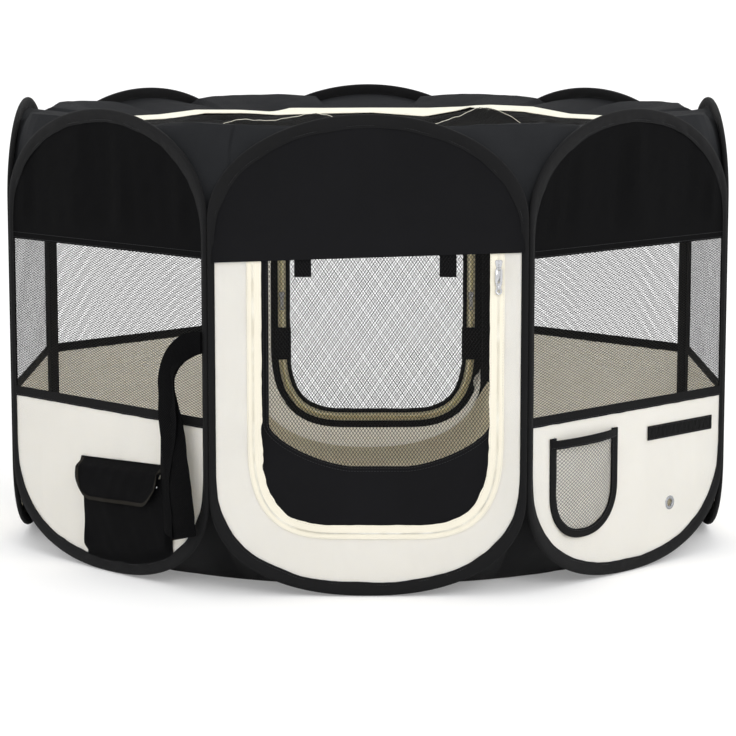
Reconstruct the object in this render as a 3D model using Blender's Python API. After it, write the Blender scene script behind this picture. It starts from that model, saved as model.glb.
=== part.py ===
"""Foldable dog playpen: eight pop-up fabric panels in a ring, in metres with +Z up.

The origin is on the ground at the ring's centre, and the front panel faces -Y. Every panel
piece is modelled as on the front panel, with X along the panel, Y from its outside inwards
(0 in the middle of the cloth) and Z up, and is then turned about Z into its own place.
"""
import math

import bmesh
import bpy
from mathutils import Matrix, Vector

# Ring, counted anticlockwise from the front as seen from above
PANEL_NAMES = ("front", "right_front", "right", "right_back",
               "back", "left_back", "left", "left_front")
PLAIN_PANELS = tuple(name for name in PANEL_NAMES if name not in ("front", "back"))
PANEL_PITCH = 0.382
PANEL_HEIGHT = 0.580

# Hoop outline: straight sides between two superelliptic ends
TOP_ARC_RISE = 0.125
TOP_ARC_POWER = 2.0
BOTTOM_ARC_RISE = 0.123
BOTTOM_ARC_POWER = 2.25
ARC_FACETS = 11

# Cloth, wire and sleeve
CLEARANCE = 0.0003
CLOTH_THICKNESS = 0.0008
WIRE_RADIUS = 0.0015
WIRE_ROOM = 0.0009
WIRE_SIDES = 5
SLEEVE_CLOTH = 0.0006
SLEEVE_SIDE_WIDTH = 0.009
SLEEVE_ARC_WIDTH = 0.0165
CLOTH_EDGE_SETBACK = 0.0025

# Corner seams, which are the hinges
SEAM_GAP = 0.0004
FOLD_GAP = 0.0007
DOUBLING_CORNERS = ("right", "left")

# Bands of a panel
UPPER_CLOTH_BOTTOM = 0.408
LOWER_CLOTH_TOP = 0.204
BINDING_HEIGHT = 0.011
WINDOW_HEM = 0.006
WINDOW_COLUMNS = 5
WINDOW_ROWS = 3
NET_STRAND = 0.004

# Doors: both have the same U-shaped zip line
DOOR_HALF_WIDTH = 0.146
DOOR_BOTTOM = 0.074
DOOR_CORNER_WIDTH = 0.108
DOOR_CORNER_HEIGHT = 0.125
DOOR_CORNER_POWER = 3.0
FRONT_DOOR_SHIFT = 0.009
BACK_DOOR_SHIFT = 0.0
DOOR_BORDER = 0.0135
DOOR_WINDOW_BOTTOM = 0.159
DOOR_WINDOW_CORNER_WIDTH = 0.095
DOOR_WINDOW_CORNER_HEIGHT = 0.052
DOOR_WINDOW_POWER = 1.5
DOOR_BINDING = 0.008
DOOR_COLUMNS = 7
DOOR_ROWS = 5

# Zip sliders
SLIDER_WIDTH = 0.009
SLIDER_HEIGHT = 0.012
SLIDER_THICKNESS = 0.0035
SLIDER_BELOW_HINGE = 0.005
PULL_WIDTH = 0.007
PULL_NECK = 0.0045
PULL_LENGTH = 0.030
PULL_THICKNESS = 0.0012
BACK_SLIDER_HEIGHT_ABOVE_GROUND = 0.255
BACK_PULL_LENGTH = 0.018

# Tie tabs inside the front door and tabs across the back door's zip
TAB_THICKNESS = 0.0015
TIE_TAB_WIDTH = 0.020
TIE_TAB_DROP = 0.021
TIE_TAB_SEWN = 0.010
TIE_TAB_PLACES = {"left": -0.0775, "right": 0.095}
ZIP_TAB_WIDTH = 0.028
ZIP_TAB_HEIGHT = 0.050
ZIP_TAB_BOTTOM = 0.156

# Roof
ROOF_CLOTH = 0.0008
GUSSET_SEAM_INSET = 0.0135
GUSSET_SEAM_POINTS = (1, 3, 5, 6, 8, 10)
GUSSET_CORNER_INSET = 0.006
ROOF_CORNER_DROP = 0.100
BASE_CORNER_HEIGHT = 0.095
ROOF_OPENING_APOTHEM = 0.360
ROOF_OPENING_DROP = 0.027
ROOF_BAND_WIDTH = 0.022
ROOF_BAND_DROP = 0.008
ROOF_BAND_GAP = 0.0007
ROOF_MESH_GAP = 0.0005
ROOF_MESH_SAG = 0.014
ROOF_MESH_LINES = 6
ROOF_MESH_HEM = 0.012

# Base
FLOOR_THICKNESS = 0.0012
FLOOR_RADIUS = 0.405
BASE_CLOTH = 0.0008

# Storage pocket and flap, on the left-front panel
POCKET_LEFT = -0.034
POCKET_RIGHT = 0.125
POCKET_TOP = 0.134
POCKET_DEPTH = 0.012
POCKET_WALL = 0.0012
POCKET_BOTTOM_POINTS = 7
FLAP_LEFT = -0.038
FLAP_RIGHT = 0.113
FLAP_TOP = 0.150
FLAP_KNEE_DROP = 0.012
FLAP_LENGTH = 0.056
FLAP_THICKNESS = 0.0012

# Doubled webbing strap: it leaves the left-front panel's seam with the front panel,
# bends over and hangs down. Reach is measured from that seam.
STRAP_THICKNESS = 0.004
STRAP_SEAM_INSET = 0.005
STRAP_SEAM_HEIGHT = 0.308
STRAP_SEAM_WIDTH = 0.026
STRAP_REACH = 0.050
STRAP_BEND_DROP = 0.050
STRAP_BEND_STEPS = 4
STRAP_WIDTH = 0.042
STRAP_END_REACH = 0.036
STRAP_END_HEIGHT = 0.056
STRAP_LOOP_WIDTH = 0.056
STRAP_DROP_STEPS = 3
STRAP_SEAM_STAND_OFF = 0.0055
STRAP_STAND_OFF = 0.0165

# Bound mesh bottle pocket, on the right-front panel
BOTTLE_POCKET_CENTRE = -0.0888
BOTTLE_POCKET_HALF_WIDTH = 0.0622
BOTTLE_POCKET_TOP = 0.184
BOTTLE_POCKET_BOTTOM = 0.059
BOTTLE_POCKET_CORNER = 0.060
BOTTLE_POCKET_POWER = 2.2
BOTTLE_POCKET_DEPTH = 0.012
BOTTLE_POCKET_BINDING = 0.010
BOTTLE_POCKET_COLUMNS = 4
BOTTLE_POCKET_ROWS = 3

# Hook-and-loop strip and eyelet, on the right-front panel
STRIP_LEFT = 0.036
STRIP_RIGHT = 0.166
STRIP_BOTTOM = 0.162
STRIP_TOP = 0.180
STRIP_THICKNESS = 0.0015
EYELET_X = 0.083
EYELET_Z = 0.076
EYELET_HOLE_RADIUS = 0.004
EYELET_BARREL_WALL = 0.0008
EYELET_FLANGE_RADIUS = 0.0075
EYELET_FLANGE_THICKNESS = 0.0008
EYELET_STEPS = 16

# Values that follow from those above
PANEL_COUNT = len(PANEL_NAMES)
TURN = 2 * math.pi / PANEL_COUNT
RING_APOTHEM = PANEL_PITCH / 2 / math.tan(TURN / 2)
RING_CORNER_RADIUS = PANEL_PITCH / 2 / math.sin(TURN / 2)
BEAD_INNER_RADIUS = WIRE_RADIUS + WIRE_ROOM
BEAD_RADIUS = BEAD_INNER_RADIUS + SLEEVE_CLOTH
SEAM_SETBACK = (BEAD_RADIUS + SEAM_GAP / 2) / math.cos(TURN / 2)
FOLD_AXIS_INSET = BEAD_RADIUS + FOLD_GAP / 2
WIRE_HALF_WIDTH = PANEL_PITCH / 2 - SEAM_SETBACK
LEG_INNER = CLOTH_THICKNESS / 2 + CLEARANCE
LEG_OUTER = LEG_INNER + SLEEVE_CLOTH
CLOTH_HALF_WIDTH = WIRE_HALF_WIDTH - CLOTH_EDGE_SETBACK
CLOTH_FACE = CLOTH_THICKNESS / 2 + CLEARANCE
ROOF_CORNER_HEIGHT = PANEL_HEIGHT - ROOF_CORNER_DROP
ROOF_OPENING_HEIGHT = PANEL_HEIGHT - ROOF_OPENING_DROP

# Materials: colour from 0 to 255 as seen, roughness, metallic
FINISHES = {
    "sleeve_black": ((40, 42, 44), 0.75, 0.0),
    "cloth_black": ((30, 32, 33), 0.8, 0.0),
    "cloth_cream": ((234, 230, 222), 0.8, 0.0),
    "mesh_black": ((24, 24, 25), 0.7, 0.0),
    "roof_black": ((54, 56, 58), 0.7, 0.0),
    "floor_black": ((28, 28, 29), 0.6, 0.0),
    "zip_tape_cream": ((238, 233, 216), 0.8, 0.0),
    "spring_steel": ((150, 152, 155), 0.35, 1.0),
    "zip_metal": ((200, 200, 202), 0.3, 1.0),
    "webbing_black": ((22, 22, 23), 0.85, 0.0),
}


def clear_scene():
    """Remove every object that the start-up scene holds."""
    for item in list(bpy.data.objects):
        bpy.data.objects.remove(item)


def linear(channel):
    """One sRGB channel from 0 to 255 as the linear value a shader takes."""
    value = channel / 255
    return value / 12.92 if value <= 0.04045 else ((value + 0.055) / 1.055) ** 2.4


def make_materials():
    """One Principled material for each finish."""
    materials = {}
    for name, (colour, roughness, metallic) in FINISHES.items():
        material = bpy.data.materials.new(name)
        material.use_nodes = True
        shader = material.node_tree.nodes["Principled BSDF"]
        shader.inputs["Base Color"].default_value = [linear(c) for c in colour] + [1.0]
        shader.inputs["Roughness"].default_value = roughness
        shader.inputs["Metallic"].default_value = metallic
        materials[name] = material
    return materials


# Ring placement and pivots

def panel_matrix(panel):
    """Turns the front panel's coordinates into the named panel's place in the ring."""
    turn = Matrix.Rotation(PANEL_NAMES.index(panel) * TURN, 4, "Z")
    return turn @ Matrix.Translation((0, -RING_APOTHEM, 0))


def corner_position(first_panel, inset):
    """The corner after first_panel, moved towards the ring's centre by inset across the cloth."""
    angle = -math.pi / 2 + (PANEL_NAMES.index(first_panel) + 0.5) * TURN
    radius = RING_CORNER_RADIUS - inset / math.cos(TURN / 2)
    return Vector((radius * math.cos(angle), radius * math.sin(angle), 0))


def add_pivot(name, position, parent=None):
    """An empty on a joint's axis, parented to the empty that carries it."""
    pivot = bpy.data.objects.new(name, None)
    pivot.empty_display_size = SLEEVE_ARC_WIDTH
    bpy.context.collection.objects.link(pivot)
    if parent is None:
        pivot.location = position
    else:
        pivot.parent = parent
        pivot.location = position - pivot_positions[parent.name]
    pivot_positions[name] = position.copy()
    return pivot


def add_piece(name, mesh, finish, panel, pivot):
    """An object of the panel, hung on its pivot, with one material and crisp edges."""
    piece = bpy.data.objects.new(name, mesh)
    bpy.context.collection.objects.link(piece)
    if not mesh.materials:
        mesh.materials.append(materials[finish])
    mesh.shade_smooth()
    mesh.set_sharp_from_angle(angle=math.radians(40))
    world = panel_matrix(panel) if panel else Matrix.Identity(4)
    piece.parent = pivot
    piece.matrix_basis = Matrix.Translation(-pivot_positions[pivot.name]) @ world
    return piece


def mesh_from(bm, name):
    """A mesh data block of the bmesh, with its faces pointing out."""
    bmesh.ops.recalc_face_normals(bm, faces=bm.faces)
    mesh = bpy.data.meshes.new(name)
    bm.to_mesh(mesh)
    bm.free()
    return mesh


# Outlines in a panel's X and Z

def superellipse_arc(half_width, rise, power, facets):
    """Vertices of half a superellipse, right to left, its end facets cut flat at the full rise."""
    step = math.pi / facets
    flat = math.cos(step / 2) ** (2 / power)
    points = []
    for index in range(facets + 1):
        angle = index * step
        across = math.copysign(abs(math.cos(angle)) ** (2 / power), math.cos(angle))
        points.append((half_width * across, rise / flat * math.sin(angle) ** (2 / power)))
    return points


def hoop_outline():
    """The wire's closed centre line: over the top from right to left, then under."""
    top_rise = TOP_ARC_RISE - BEAD_RADIUS
    bottom_rise = BOTTOM_ARC_RISE - BEAD_RADIUS
    top = [(x, PANEL_HEIGHT - TOP_ARC_RISE + z) for x, z in
           superellipse_arc(WIRE_HALF_WIDTH, top_rise, TOP_ARC_POWER, ARC_FACETS)]
    bottom = [(-x, BOTTOM_ARC_RISE - z) for x, z in
              superellipse_arc(WIRE_HALF_WIDTH, bottom_rise, BOTTOM_ARC_POWER, ARC_FACETS)]
    return top, bottom


def outward_mitres(outline):
    """For each vertex of an anticlockwise loop, the step that moves its two sides out by 1."""
    mitres = []
    for index, point in enumerate(outline):
        before = Vector(point) - Vector(outline[index - 1])
        after = Vector(outline[(index + 1) % len(outline)]) - Vector(point)
        out_before = Vector((before.y, -before.x)).normalized()
        out_after = Vector((after.y, -after.x)).normalized()
        mitres.append((out_before + out_after) / (1 + out_before.dot(out_after)))
    return mitres


def offset_outline(outline, distance):
    """The loop with every side moved outwards by distance."""
    return [tuple(Vector(point) + distance * mitre)
            for point, mitre in zip(outline, outward_mitres(outline))]


def hoop_offset(distance):
    """The hoop's top and bottom vertices, moved out from the wire by distance."""
    top, bottom = hoop_outline()
    moved = offset_outline(top + bottom, distance)
    return moved[:len(top)], moved[len(top):]


def height_on(points, x):
    """Height at x of a line of points whose x rises."""
    for (x0, z0), (x1, z1) in zip(points, points[1:]):
        if x0 <= x <= x1:
            return z0 + (z1 - z0) * (x - x0) / (x1 - x0)
    return points[0][1] if x < points[0][0] else points[-1][1]


def rounding(distance, length, power):
    """How much of a superelliptic corner's rise is left at a share of its length."""
    share = min(max(distance / length, 0.0), 1.0)
    return 1 - (1 - share ** power) ** (1 / power)


class UShape:
    """A door or pocket with a straight top and sides and two superelliptic lower corners."""

    def __init__(self, centre, half_width, top, bottom, corner_width, corner_height, power):
        self.centre, self.half_width, self.top, self.bottom = centre, half_width, top, bottom
        self.corner_width, self.corner_height, self.power = corner_width, corner_height, power
        left = 1 - 0.5 ** (1 / power)
        self.turn_x = half_width - corner_width * left
        self.turn_z = bottom + corner_height * left

    def point(self, across, up):
        """Point for across from -1 to 1 and up from 0 to 1, both even along the edges."""
        z = self.turn_z + up * (self.top - self.turn_z)
        below = self.bottom + self.corner_height - z
        side = self.half_width - self.corner_width * rounding(below, self.corner_height, self.power)
        beyond = abs(across) * self.turn_x - self.half_width + self.corner_width
        rise = self.corner_height * rounding(beyond, self.corner_width, self.power)
        z += (1 - up) * (self.bottom + rise - self.turn_z)
        return (self.centre + across * side, z)

    def edge(self, columns, rows):
        """The U through the grid's outer points: down the left, across and up the right."""
        left = [self.point(-1, row) for row in reversed(rows)]
        low = [self.point(column, 0) for column in columns[1:-1]]
        right = [self.point(1, row) for row in rows]
        return left + low + right


# Solids

def prism(name, outline, low, high):
    """The flat outline, in X and Z, as a solid plate from low to high in Y."""
    bm = bmesh.new()
    face = bm.faces.new([bm.verts.new((x, low, z)) for x, z in outline])
    grown = bmesh.ops.extrude_face_region(bm, geom=[face])
    moved = [item for item in grown["geom"] if isinstance(item, bmesh.types.BMVert)]
    bmesh.ops.translate(bm, verts=moved, vec=(0, high - low, 0))
    return mesh_from(bm, name)


def cloth_prism(name, outline):
    """The outline as a plate of cloth in the panel's plane."""
    return prism(name, outline, -CLOTH_THICKNESS / 2, CLOTH_THICKNESS / 2)


def sweep_round_hoop(name, section_at):
    """A tube round the hoop. section_at gives, for a share of straight side, the section's
    points: how far out from the wire, and how far along Y."""
    top, bottom = hoop_outline()
    outline = top + bottom
    mitres = outward_mitres(outline)
    bm = bmesh.new()
    rings = []
    for index, (point, mitre) in enumerate(zip(outline, mitres)):
        in_end = index % len(top)
        from_side = min(in_end, ARC_FACETS - in_end)
        section = section_at(1.0 if from_side == 0 else 0.0)
        rings.append([bm.verts.new((point[0] + out * mitre.x, along, point[1] + out * mitre.y))
                      for out, along in section])
    for ring, following in zip(rings, rings[1:] + rings[:1]):
        count = len(ring)
        for index in range(count):
            after = (index + 1) % count
            bm.faces.new((ring[index], ring[after], following[after], following[index]))
    return mesh_from(bm, name)


def round_points(radius, degrees):
    """Points of a circle as distances out from the wire and along Y."""
    return [(radius * math.cos(math.radians(d)), radius * math.sin(math.radians(d)))
            for d in degrees]


def sleeve_section(straight):
    """Folded tape round the wire: a bead with two legs that hold the cloth's edge."""
    width = SLEEVE_ARC_WIDTH + (SLEEVE_SIDE_WIDTH - SLEEVE_ARC_WIDTH) * straight
    bead = round_points(BEAD_RADIUS, (110, 55, 0, -55, -110))
    inside = round_points(BEAD_INNER_RADIUS, (-100, -35, 35, 100))
    return ([(-width, LEG_OUTER)] + bead + [(-width, -LEG_OUTER), (-width, -LEG_INNER)]
            + inside + [(-width, LEG_INNER)])


def wire_section(_straight):
    """The round spring wire."""
    return round_points(WIRE_RADIUS, [360 * step / WIRE_SIDES for step in range(WIRE_SIDES)])


def grid_net(name, u_lines, v_lines, place, strand, walls_to=None):
    """A net: a grid of square gaps inside a border one line wide, given thickness later.

    place turns a pair of grid values into a point. walls_to, if given, is the Y to which
    the left, lower and right edges are drawn out as a wall.
    """
    bm = bmesh.new()
    rows = [[bm.verts.new(place(u, v)) for u in u_lines] for v in v_lines]
    gaps = []
    for j in range(len(v_lines) - 1):
        for i in range(len(u_lines) - 1):
            face = bm.faces.new((rows[j][i], rows[j][i + 1], rows[j + 1][i + 1], rows[j + 1][i]))
            if 0 < i < len(u_lines) - 2 and 0 < j < len(v_lines) - 2:
                gaps.append(face)
    if walls_to is not None:
        upper = set(rows[-1])
        rim = [edge for edge in bm.edges if edge.is_boundary and not set(edge.verts) <= upper]
        drawn = bmesh.ops.extrude_edge_only(bm, edges=rim)
        for item in drawn["geom"]:
            if isinstance(item, bmesh.types.BMVert):
                item.co.y = walls_to
    bm.normal_update()
    bmesh.ops.inset_individual(bm, faces=gaps, thickness=strand / 2, use_even_offset=True)
    bmesh.ops.delete(bm, geom=gaps, context="FACES_ONLY")
    return mesh_from(bm, name)


def thicken(piece, thickness, offset=0.0):
    """Gives a sheet its thickness."""
    solidify = piece.modifiers.new("Thickness", "SOLIDIFY")
    solidify.thickness = thickness
    solidify.offset = offset
    solidify.use_even_offset = True
    return piece


def even_lines(low, high, first_border, last_border, count):
    """Grid values from low to high: a border, count equal gaps and another border."""
    start = low + first_border
    step = (high - last_border - start) / count
    return [low] + [start + step * index for index in range(count + 1)] + [high]


def sheet_from_rows(name, rows, closed):
    """A sheet of quads through rows of points, each row of the same length."""
    bm = bmesh.new()
    grid = [[bm.verts.new(point) for point in row] for row in rows]
    count = len(grid[0])
    for lower, upper in zip(grid, grid[1:]):
        for index in range(count if closed else count - 1):
            after = (index + 1) % count
            bm.faces.new((lower[index], lower[after], upper[after], upper[index]))
    return mesh_from(bm, name)


def rounded_plate(centre_x, top, bottom, top_width, bottom_width):
    """Outline of a small tapered plate with cut corners."""
    cut = min(top_width, bottom_width) / 4
    half_top, half_bottom = top_width / 2, bottom_width / 2
    return [(centre_x - half_bottom + cut, bottom), (centre_x + half_bottom - cut, bottom),
            (centre_x + half_bottom, bottom + cut), (centre_x + half_top, top - cut),
            (centre_x + half_top - cut, top), (centre_x - half_top + cut, top),
            (centre_x - half_top, top - cut), (centre_x - half_bottom, bottom + cut)]


# Panels

def make_hoop(panel, pivot, meshes):
    """The sleeve round the panel and the sprung wire inside it."""
    add_piece(panel + "_sleeve", meshes["sleeve"], "sleeve_black", panel, pivot)
    add_piece(panel + "_hoop_wire", meshes["wire"], "spring_steel", panel, pivot)


def upper_cloth_outline():
    """The black cloth from the window's upper edge to the hoop's top."""
    top, _ = hoop_offset(-CLOTH_EDGE_SETBACK)
    low = UPPER_CLOTH_BOTTOM
    return [(CLOTH_HALF_WIDTH, low)] + top + [(-CLOTH_HALF_WIDTH, low)]


def lower_cloth_outline():
    """The cream cloth from the hoop's bottom to the window's lower edge."""
    _, bottom = hoop_offset(-CLOTH_EDGE_SETBACK)
    high = LOWER_CLOTH_TOP
    return [(-CLOTH_HALF_WIDTH, high)] + bottom + [(CLOTH_HALF_WIDTH, high)]


def window_net_mesh():
    """The plain panels' mesh window, whose lower border is the black binding."""
    low = LOWER_CLOTH_TOP + CLEARANCE
    high = UPPER_CLOTH_BOTTOM - CLEARANCE
    side = SLEEVE_SIDE_WIDTH - CLOTH_EDGE_SETBACK + NET_STRAND / 2
    columns = even_lines(-CLOTH_HALF_WIDTH, CLOTH_HALF_WIDTH, side, side, WINDOW_COLUMNS)
    rows = even_lines(low, high, BINDING_HEIGHT, WINDOW_HEM, WINDOW_ROWS)
    return grid_net("window_net", columns, rows, lambda u, v: (u, 0, v), NET_STRAND)


def make_plain_panel(panel, pivot, meshes):
    """A panel with a black upper cloth, a mesh window and a cream lower cloth."""
    make_hoop(panel, pivot, meshes)
    add_piece(panel + "_upper_cloth", meshes["upper"], "cloth_black", panel, pivot)
    net = add_piece(panel + "_mesh_window", meshes["window"], "mesh_black", panel, pivot)
    thicken(net, CLOTH_THICKNESS)
    lower = meshes["lower"]
    if panel == "right_front":
        lower = lower.copy()
    return add_piece(panel + "_lower_cloth", lower, "cloth_cream", panel, pivot)


def door_shape(shift):
    """The zip line of a door whose middle is shifted along its panel."""
    return UShape(shift, DOOR_HALF_WIDTH, UPPER_CLOTH_BOTTOM - CLEARANCE, DOOR_BOTTOM,
                  DOOR_CORNER_WIDTH, DOOR_CORNER_HEIGHT, DOOR_CORNER_POWER)


def shape_lines(shape, border, columns, rows):
    """Grid values of a net in a U shape, with a border of the given width all round."""
    across = border / shape.half_width
    up = border / (shape.top - shape.turn_z)
    return even_lines(-1, 1, across, across, columns), even_lines(0, 1, up, up, rows)


def zip_line(shift):
    """The points of a door's zip line."""
    shape = door_shape(shift)
    return shape.edge(*shape_lines(shape, DOOR_BINDING, DOOR_COLUMNS, DOOR_ROWS))


def surround_outline(shift):
    """The cream U between the hoop and the door's zip line."""
    _, bottom = hoop_offset(-CLOTH_EDGE_SETBACK)
    high = UPPER_CLOTH_BOTTOM - CLEARANCE
    outer = [(-CLOTH_HALF_WIDTH, high)] + bottom + [(CLOTH_HALF_WIDTH, high)]
    zip_edge = offset_outline(zip_line(shift), CLEARANCE)
    zip_edge[0] = (zip_edge[0][0], high)
    zip_edge[-1] = (zip_edge[-1][0], high)
    return outer + list(reversed(zip_edge))


def front_window():
    """The opening for the mesh in the front door."""
    return UShape(FRONT_DOOR_SHIFT, DOOR_HALF_WIDTH - DOOR_BORDER,
                  UPPER_CLOTH_BOTTOM - CLEARANCE - DOOR_BINDING, DOOR_WINDOW_BOTTOM,
                  DOOR_WINDOW_CORNER_WIDTH, DOOR_WINDOW_CORNER_HEIGHT, DOOR_WINDOW_POWER)


def front_window_lines():
    """Grid values of the front door's mesh."""
    return shape_lines(front_window(), DOOR_BINDING, DOOR_COLUMNS, DOOR_ROWS)


def shape_net(name, shape, lines):
    """A net that fills a U shape."""
    def place(across, up):
        x, z = shape.point(across, up)
        return (x, 0, z)

    return grid_net(name, *lines, place, NET_STRAND)


def make_front_door_cloth(pivot):
    """The door's cloth: the zip line's outline with the window's opening through it."""
    bm = bmesh.new()
    hole = offset_outline(front_window().edge(*front_window_lines()), CLEARANCE)
    loops = []
    for loop in (zip_line(FRONT_DOOR_SHIFT), hole):
        verts = [bm.verts.new((x, -CLOTH_THICKNESS / 2, z)) for x, z in loop]
        loops += [bm.edges.new((a, b)) for a, b in zip(verts, verts[1:] + verts[:1])]
    bmesh.ops.triangle_fill(bm, use_beauty=True, edges=loops)
    grown = bmesh.ops.extrude_face_region(bm, geom=list(bm.faces))
    moved = [item for item in grown["geom"] if isinstance(item, bmesh.types.BMVert)]
    bmesh.ops.translate(bm, verts=moved, vec=(0, CLOTH_THICKNESS, 0))
    mesh = mesh_from(bm, "front_door_cloth")
    return add_piece("front_door_cloth", mesh, "cloth_black", "front", pivot)


def make_front_door(pivots, meshes):
    """The front panel's cloth, its surround and its door with slider, pull and tie tabs."""
    fixed = pivots["front"]
    make_hoop("front", fixed, meshes)
    add_piece("front_upper_cloth", meshes["upper"], "cloth_black", "front", fixed)
    surround = cloth_prism("front_door_surround", surround_outline(FRONT_DOOR_SHIFT))
    add_piece("front_door_surround", surround, "cloth_cream", "front", fixed)
    hinge = add_pivot("front_door_hinge", door_hinge_position("front"), fixed)
    make_front_door_cloth(hinge)
    net_mesh = shape_net("front_door_mesh", front_window(), front_window_lines())
    net = add_piece("front_door_mesh", net_mesh, "mesh_black", "front", hinge)
    thicken(net, CLOTH_THICKNESS)
    make_front_slider(hinge)
    for side, x in TIE_TAB_PLACES.items():
        top = UPPER_CLOTH_BOTTOM + TIE_TAB_SEWN
        bottom = UPPER_CLOTH_BOTTOM - TIE_TAB_DROP
        outline = rounded_plate(x, top, bottom, TIE_TAB_WIDTH, TIE_TAB_WIDTH)
        tab = prism("tie_tab", outline, CLOTH_FACE, CLOTH_FACE + TAB_THICKNESS)
        add_piece("tie_tab_" + side, tab, "webbing_black", "front", fixed)


def door_hinge_position(panel):
    """The door swings about the outer top edge of its cloth."""
    local = Vector((0, -CLOTH_THICKNESS / 2, UPPER_CLOTH_BOTTOM - CLEARANCE))
    return panel_matrix(panel) @ local


def make_front_slider(hinge):
    """The zip slider parked at the zip's upper right end, and its long pull."""
    x = DOOR_HALF_WIDTH + FRONT_DOOR_SHIFT
    top = UPPER_CLOTH_BOTTOM - CLEARANCE - SLIDER_BELOW_HINGE
    middle = top - SLIDER_HEIGHT / 2
    face = -CLOTH_FACE - SLIDER_THICKNESS
    track = add_pivot("front_slider_track", panel_matrix("front") @ Vector((x, face, middle)), hinge)
    outline = rounded_plate(x, top, top - SLIDER_HEIGHT, SLIDER_WIDTH, SLIDER_WIDTH)
    body = prism("front_zip_slider", outline, face, -CLOTH_FACE)
    add_piece("front_zip_slider", body, "zip_metal", "front", track)
    inner = face - CLEARANCE
    pull_pivot = add_pivot("front_pull_hinge", panel_matrix("front") @ Vector((x, inner, middle)), track)
    outline = rounded_plate(x, middle, middle - PULL_LENGTH, PULL_NECK, PULL_WIDTH)
    pull = prism("front_zip_pull", outline, inner - PULL_THICKNESS, inner)
    add_piece("front_zip_pull", pull, "zip_metal", "front", pull_pivot)


def make_back_door(pivots, meshes):
    """The back panel's cloth, its surround, its mesh door, and the sliders and tabs inside."""
    fixed = pivots["back"]
    make_hoop("back", fixed, meshes)
    add_piece("back_upper_cloth", meshes["upper"], "cloth_black", "back", fixed)
    surround = cloth_prism("back_door_surround", surround_outline(BACK_DOOR_SHIFT))
    add_piece("back_door_surround", surround, "cloth_cream", "back", fixed)
    hinge = add_pivot("back_door_hinge", door_hinge_position("back"), fixed)
    shape = door_shape(BACK_DOOR_SHIFT)
    lines = shape_lines(shape, DOOR_BINDING, DOOR_COLUMNS, DOOR_ROWS)
    net = add_piece("back_door_mesh", shape_net("back_door_mesh", shape, lines),
                    "mesh_black", "back", hinge)
    thicken(net, CLOTH_THICKNESS)
    for side, sign in (("left", 1), ("right", -1)):
        x = BACK_DOOR_SHIFT + sign * DOOR_HALF_WIDTH
        make_back_slider(side, x, fixed)
        outline = rounded_plate(x, ZIP_TAB_BOTTOM + ZIP_TAB_HEIGHT, ZIP_TAB_BOTTOM,
                                ZIP_TAB_WIDTH, ZIP_TAB_WIDTH)
        tab = prism("zip_tab", outline, CLOTH_FACE, CLOTH_FACE + TAB_THICKNESS)
        add_piece("back_zip_tab_" + side, tab, "webbing_black", "back", fixed)


def make_back_slider(side, x, fixed):
    """A back door slider seen inside the pen, in one piece with its short pull."""
    middle = BACK_SLIDER_HEIGHT_ABOVE_GROUND
    half_body, half_pull = SLIDER_WIDTH / 2, PULL_WIDTH / 2
    top, foot = middle + SLIDER_HEIGHT / 2, middle - SLIDER_HEIGHT / 2
    end = foot - BACK_PULL_LENGTH
    outline = [(x - half_body, foot), (x - half_pull, foot), (x - half_pull, end),
               (x + half_pull, end), (x + half_pull, foot), (x + half_body, foot),
               (x + half_body, top), (x - half_body, top)]
    track = add_pivot("back_slider_track_" + side,
                      panel_matrix("back") @ Vector((x, CLOTH_FACE, middle)), fixed)
    body = prism("back_zip_slider", outline, CLOTH_FACE, CLOTH_FACE + SLIDER_THICKNESS)
    add_piece("back_zip_slider_" + side, body, "zip_metal", "back", track)


# Roof and base

def sleeve_face(inset):
    """How far the sleeve's leg stands off the panel's middle, at an inset from the wire."""
    bead_out, bead_along = round_points(BEAD_RADIUS, (110,))[0]
    share = (SLEEVE_ARC_WIDTH - inset) / (SLEEVE_ARC_WIDTH + bead_out)
    return LEG_OUTER + (bead_along - LEG_OUTER) * share


def gusset_seam(end_points, thickness, corner_height):
    """World points of a gusset's outer edge: along every hoop's end and into every corner."""
    depth = sleeve_face(GUSSET_SEAM_INSET) + CLEARANCE + thickness / 2
    row = []
    for panel in PANEL_NAMES:
        matrix = panel_matrix(panel)
        across = sorted(end_points)
        row += [matrix @ Vector((across[k][0], depth, across[k][1])) for k in GUSSET_SEAM_POINTS]
        row.append(corner_position(panel, GUSSET_CORNER_INSET) + Vector((0, 0, corner_height)))
    return row


def octagon_point(direction, apothem, height):
    """Where a ray from the centre meets the ring-shaped octagon of that apothem."""
    angle = math.atan2(direction.y, direction.x)
    from_middle = (angle + math.pi / 2 + TURN / 2) % TURN - TURN / 2
    radius = apothem / math.cos(from_middle)
    return Vector((radius * math.cos(angle), radius * math.sin(angle), height))


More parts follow.
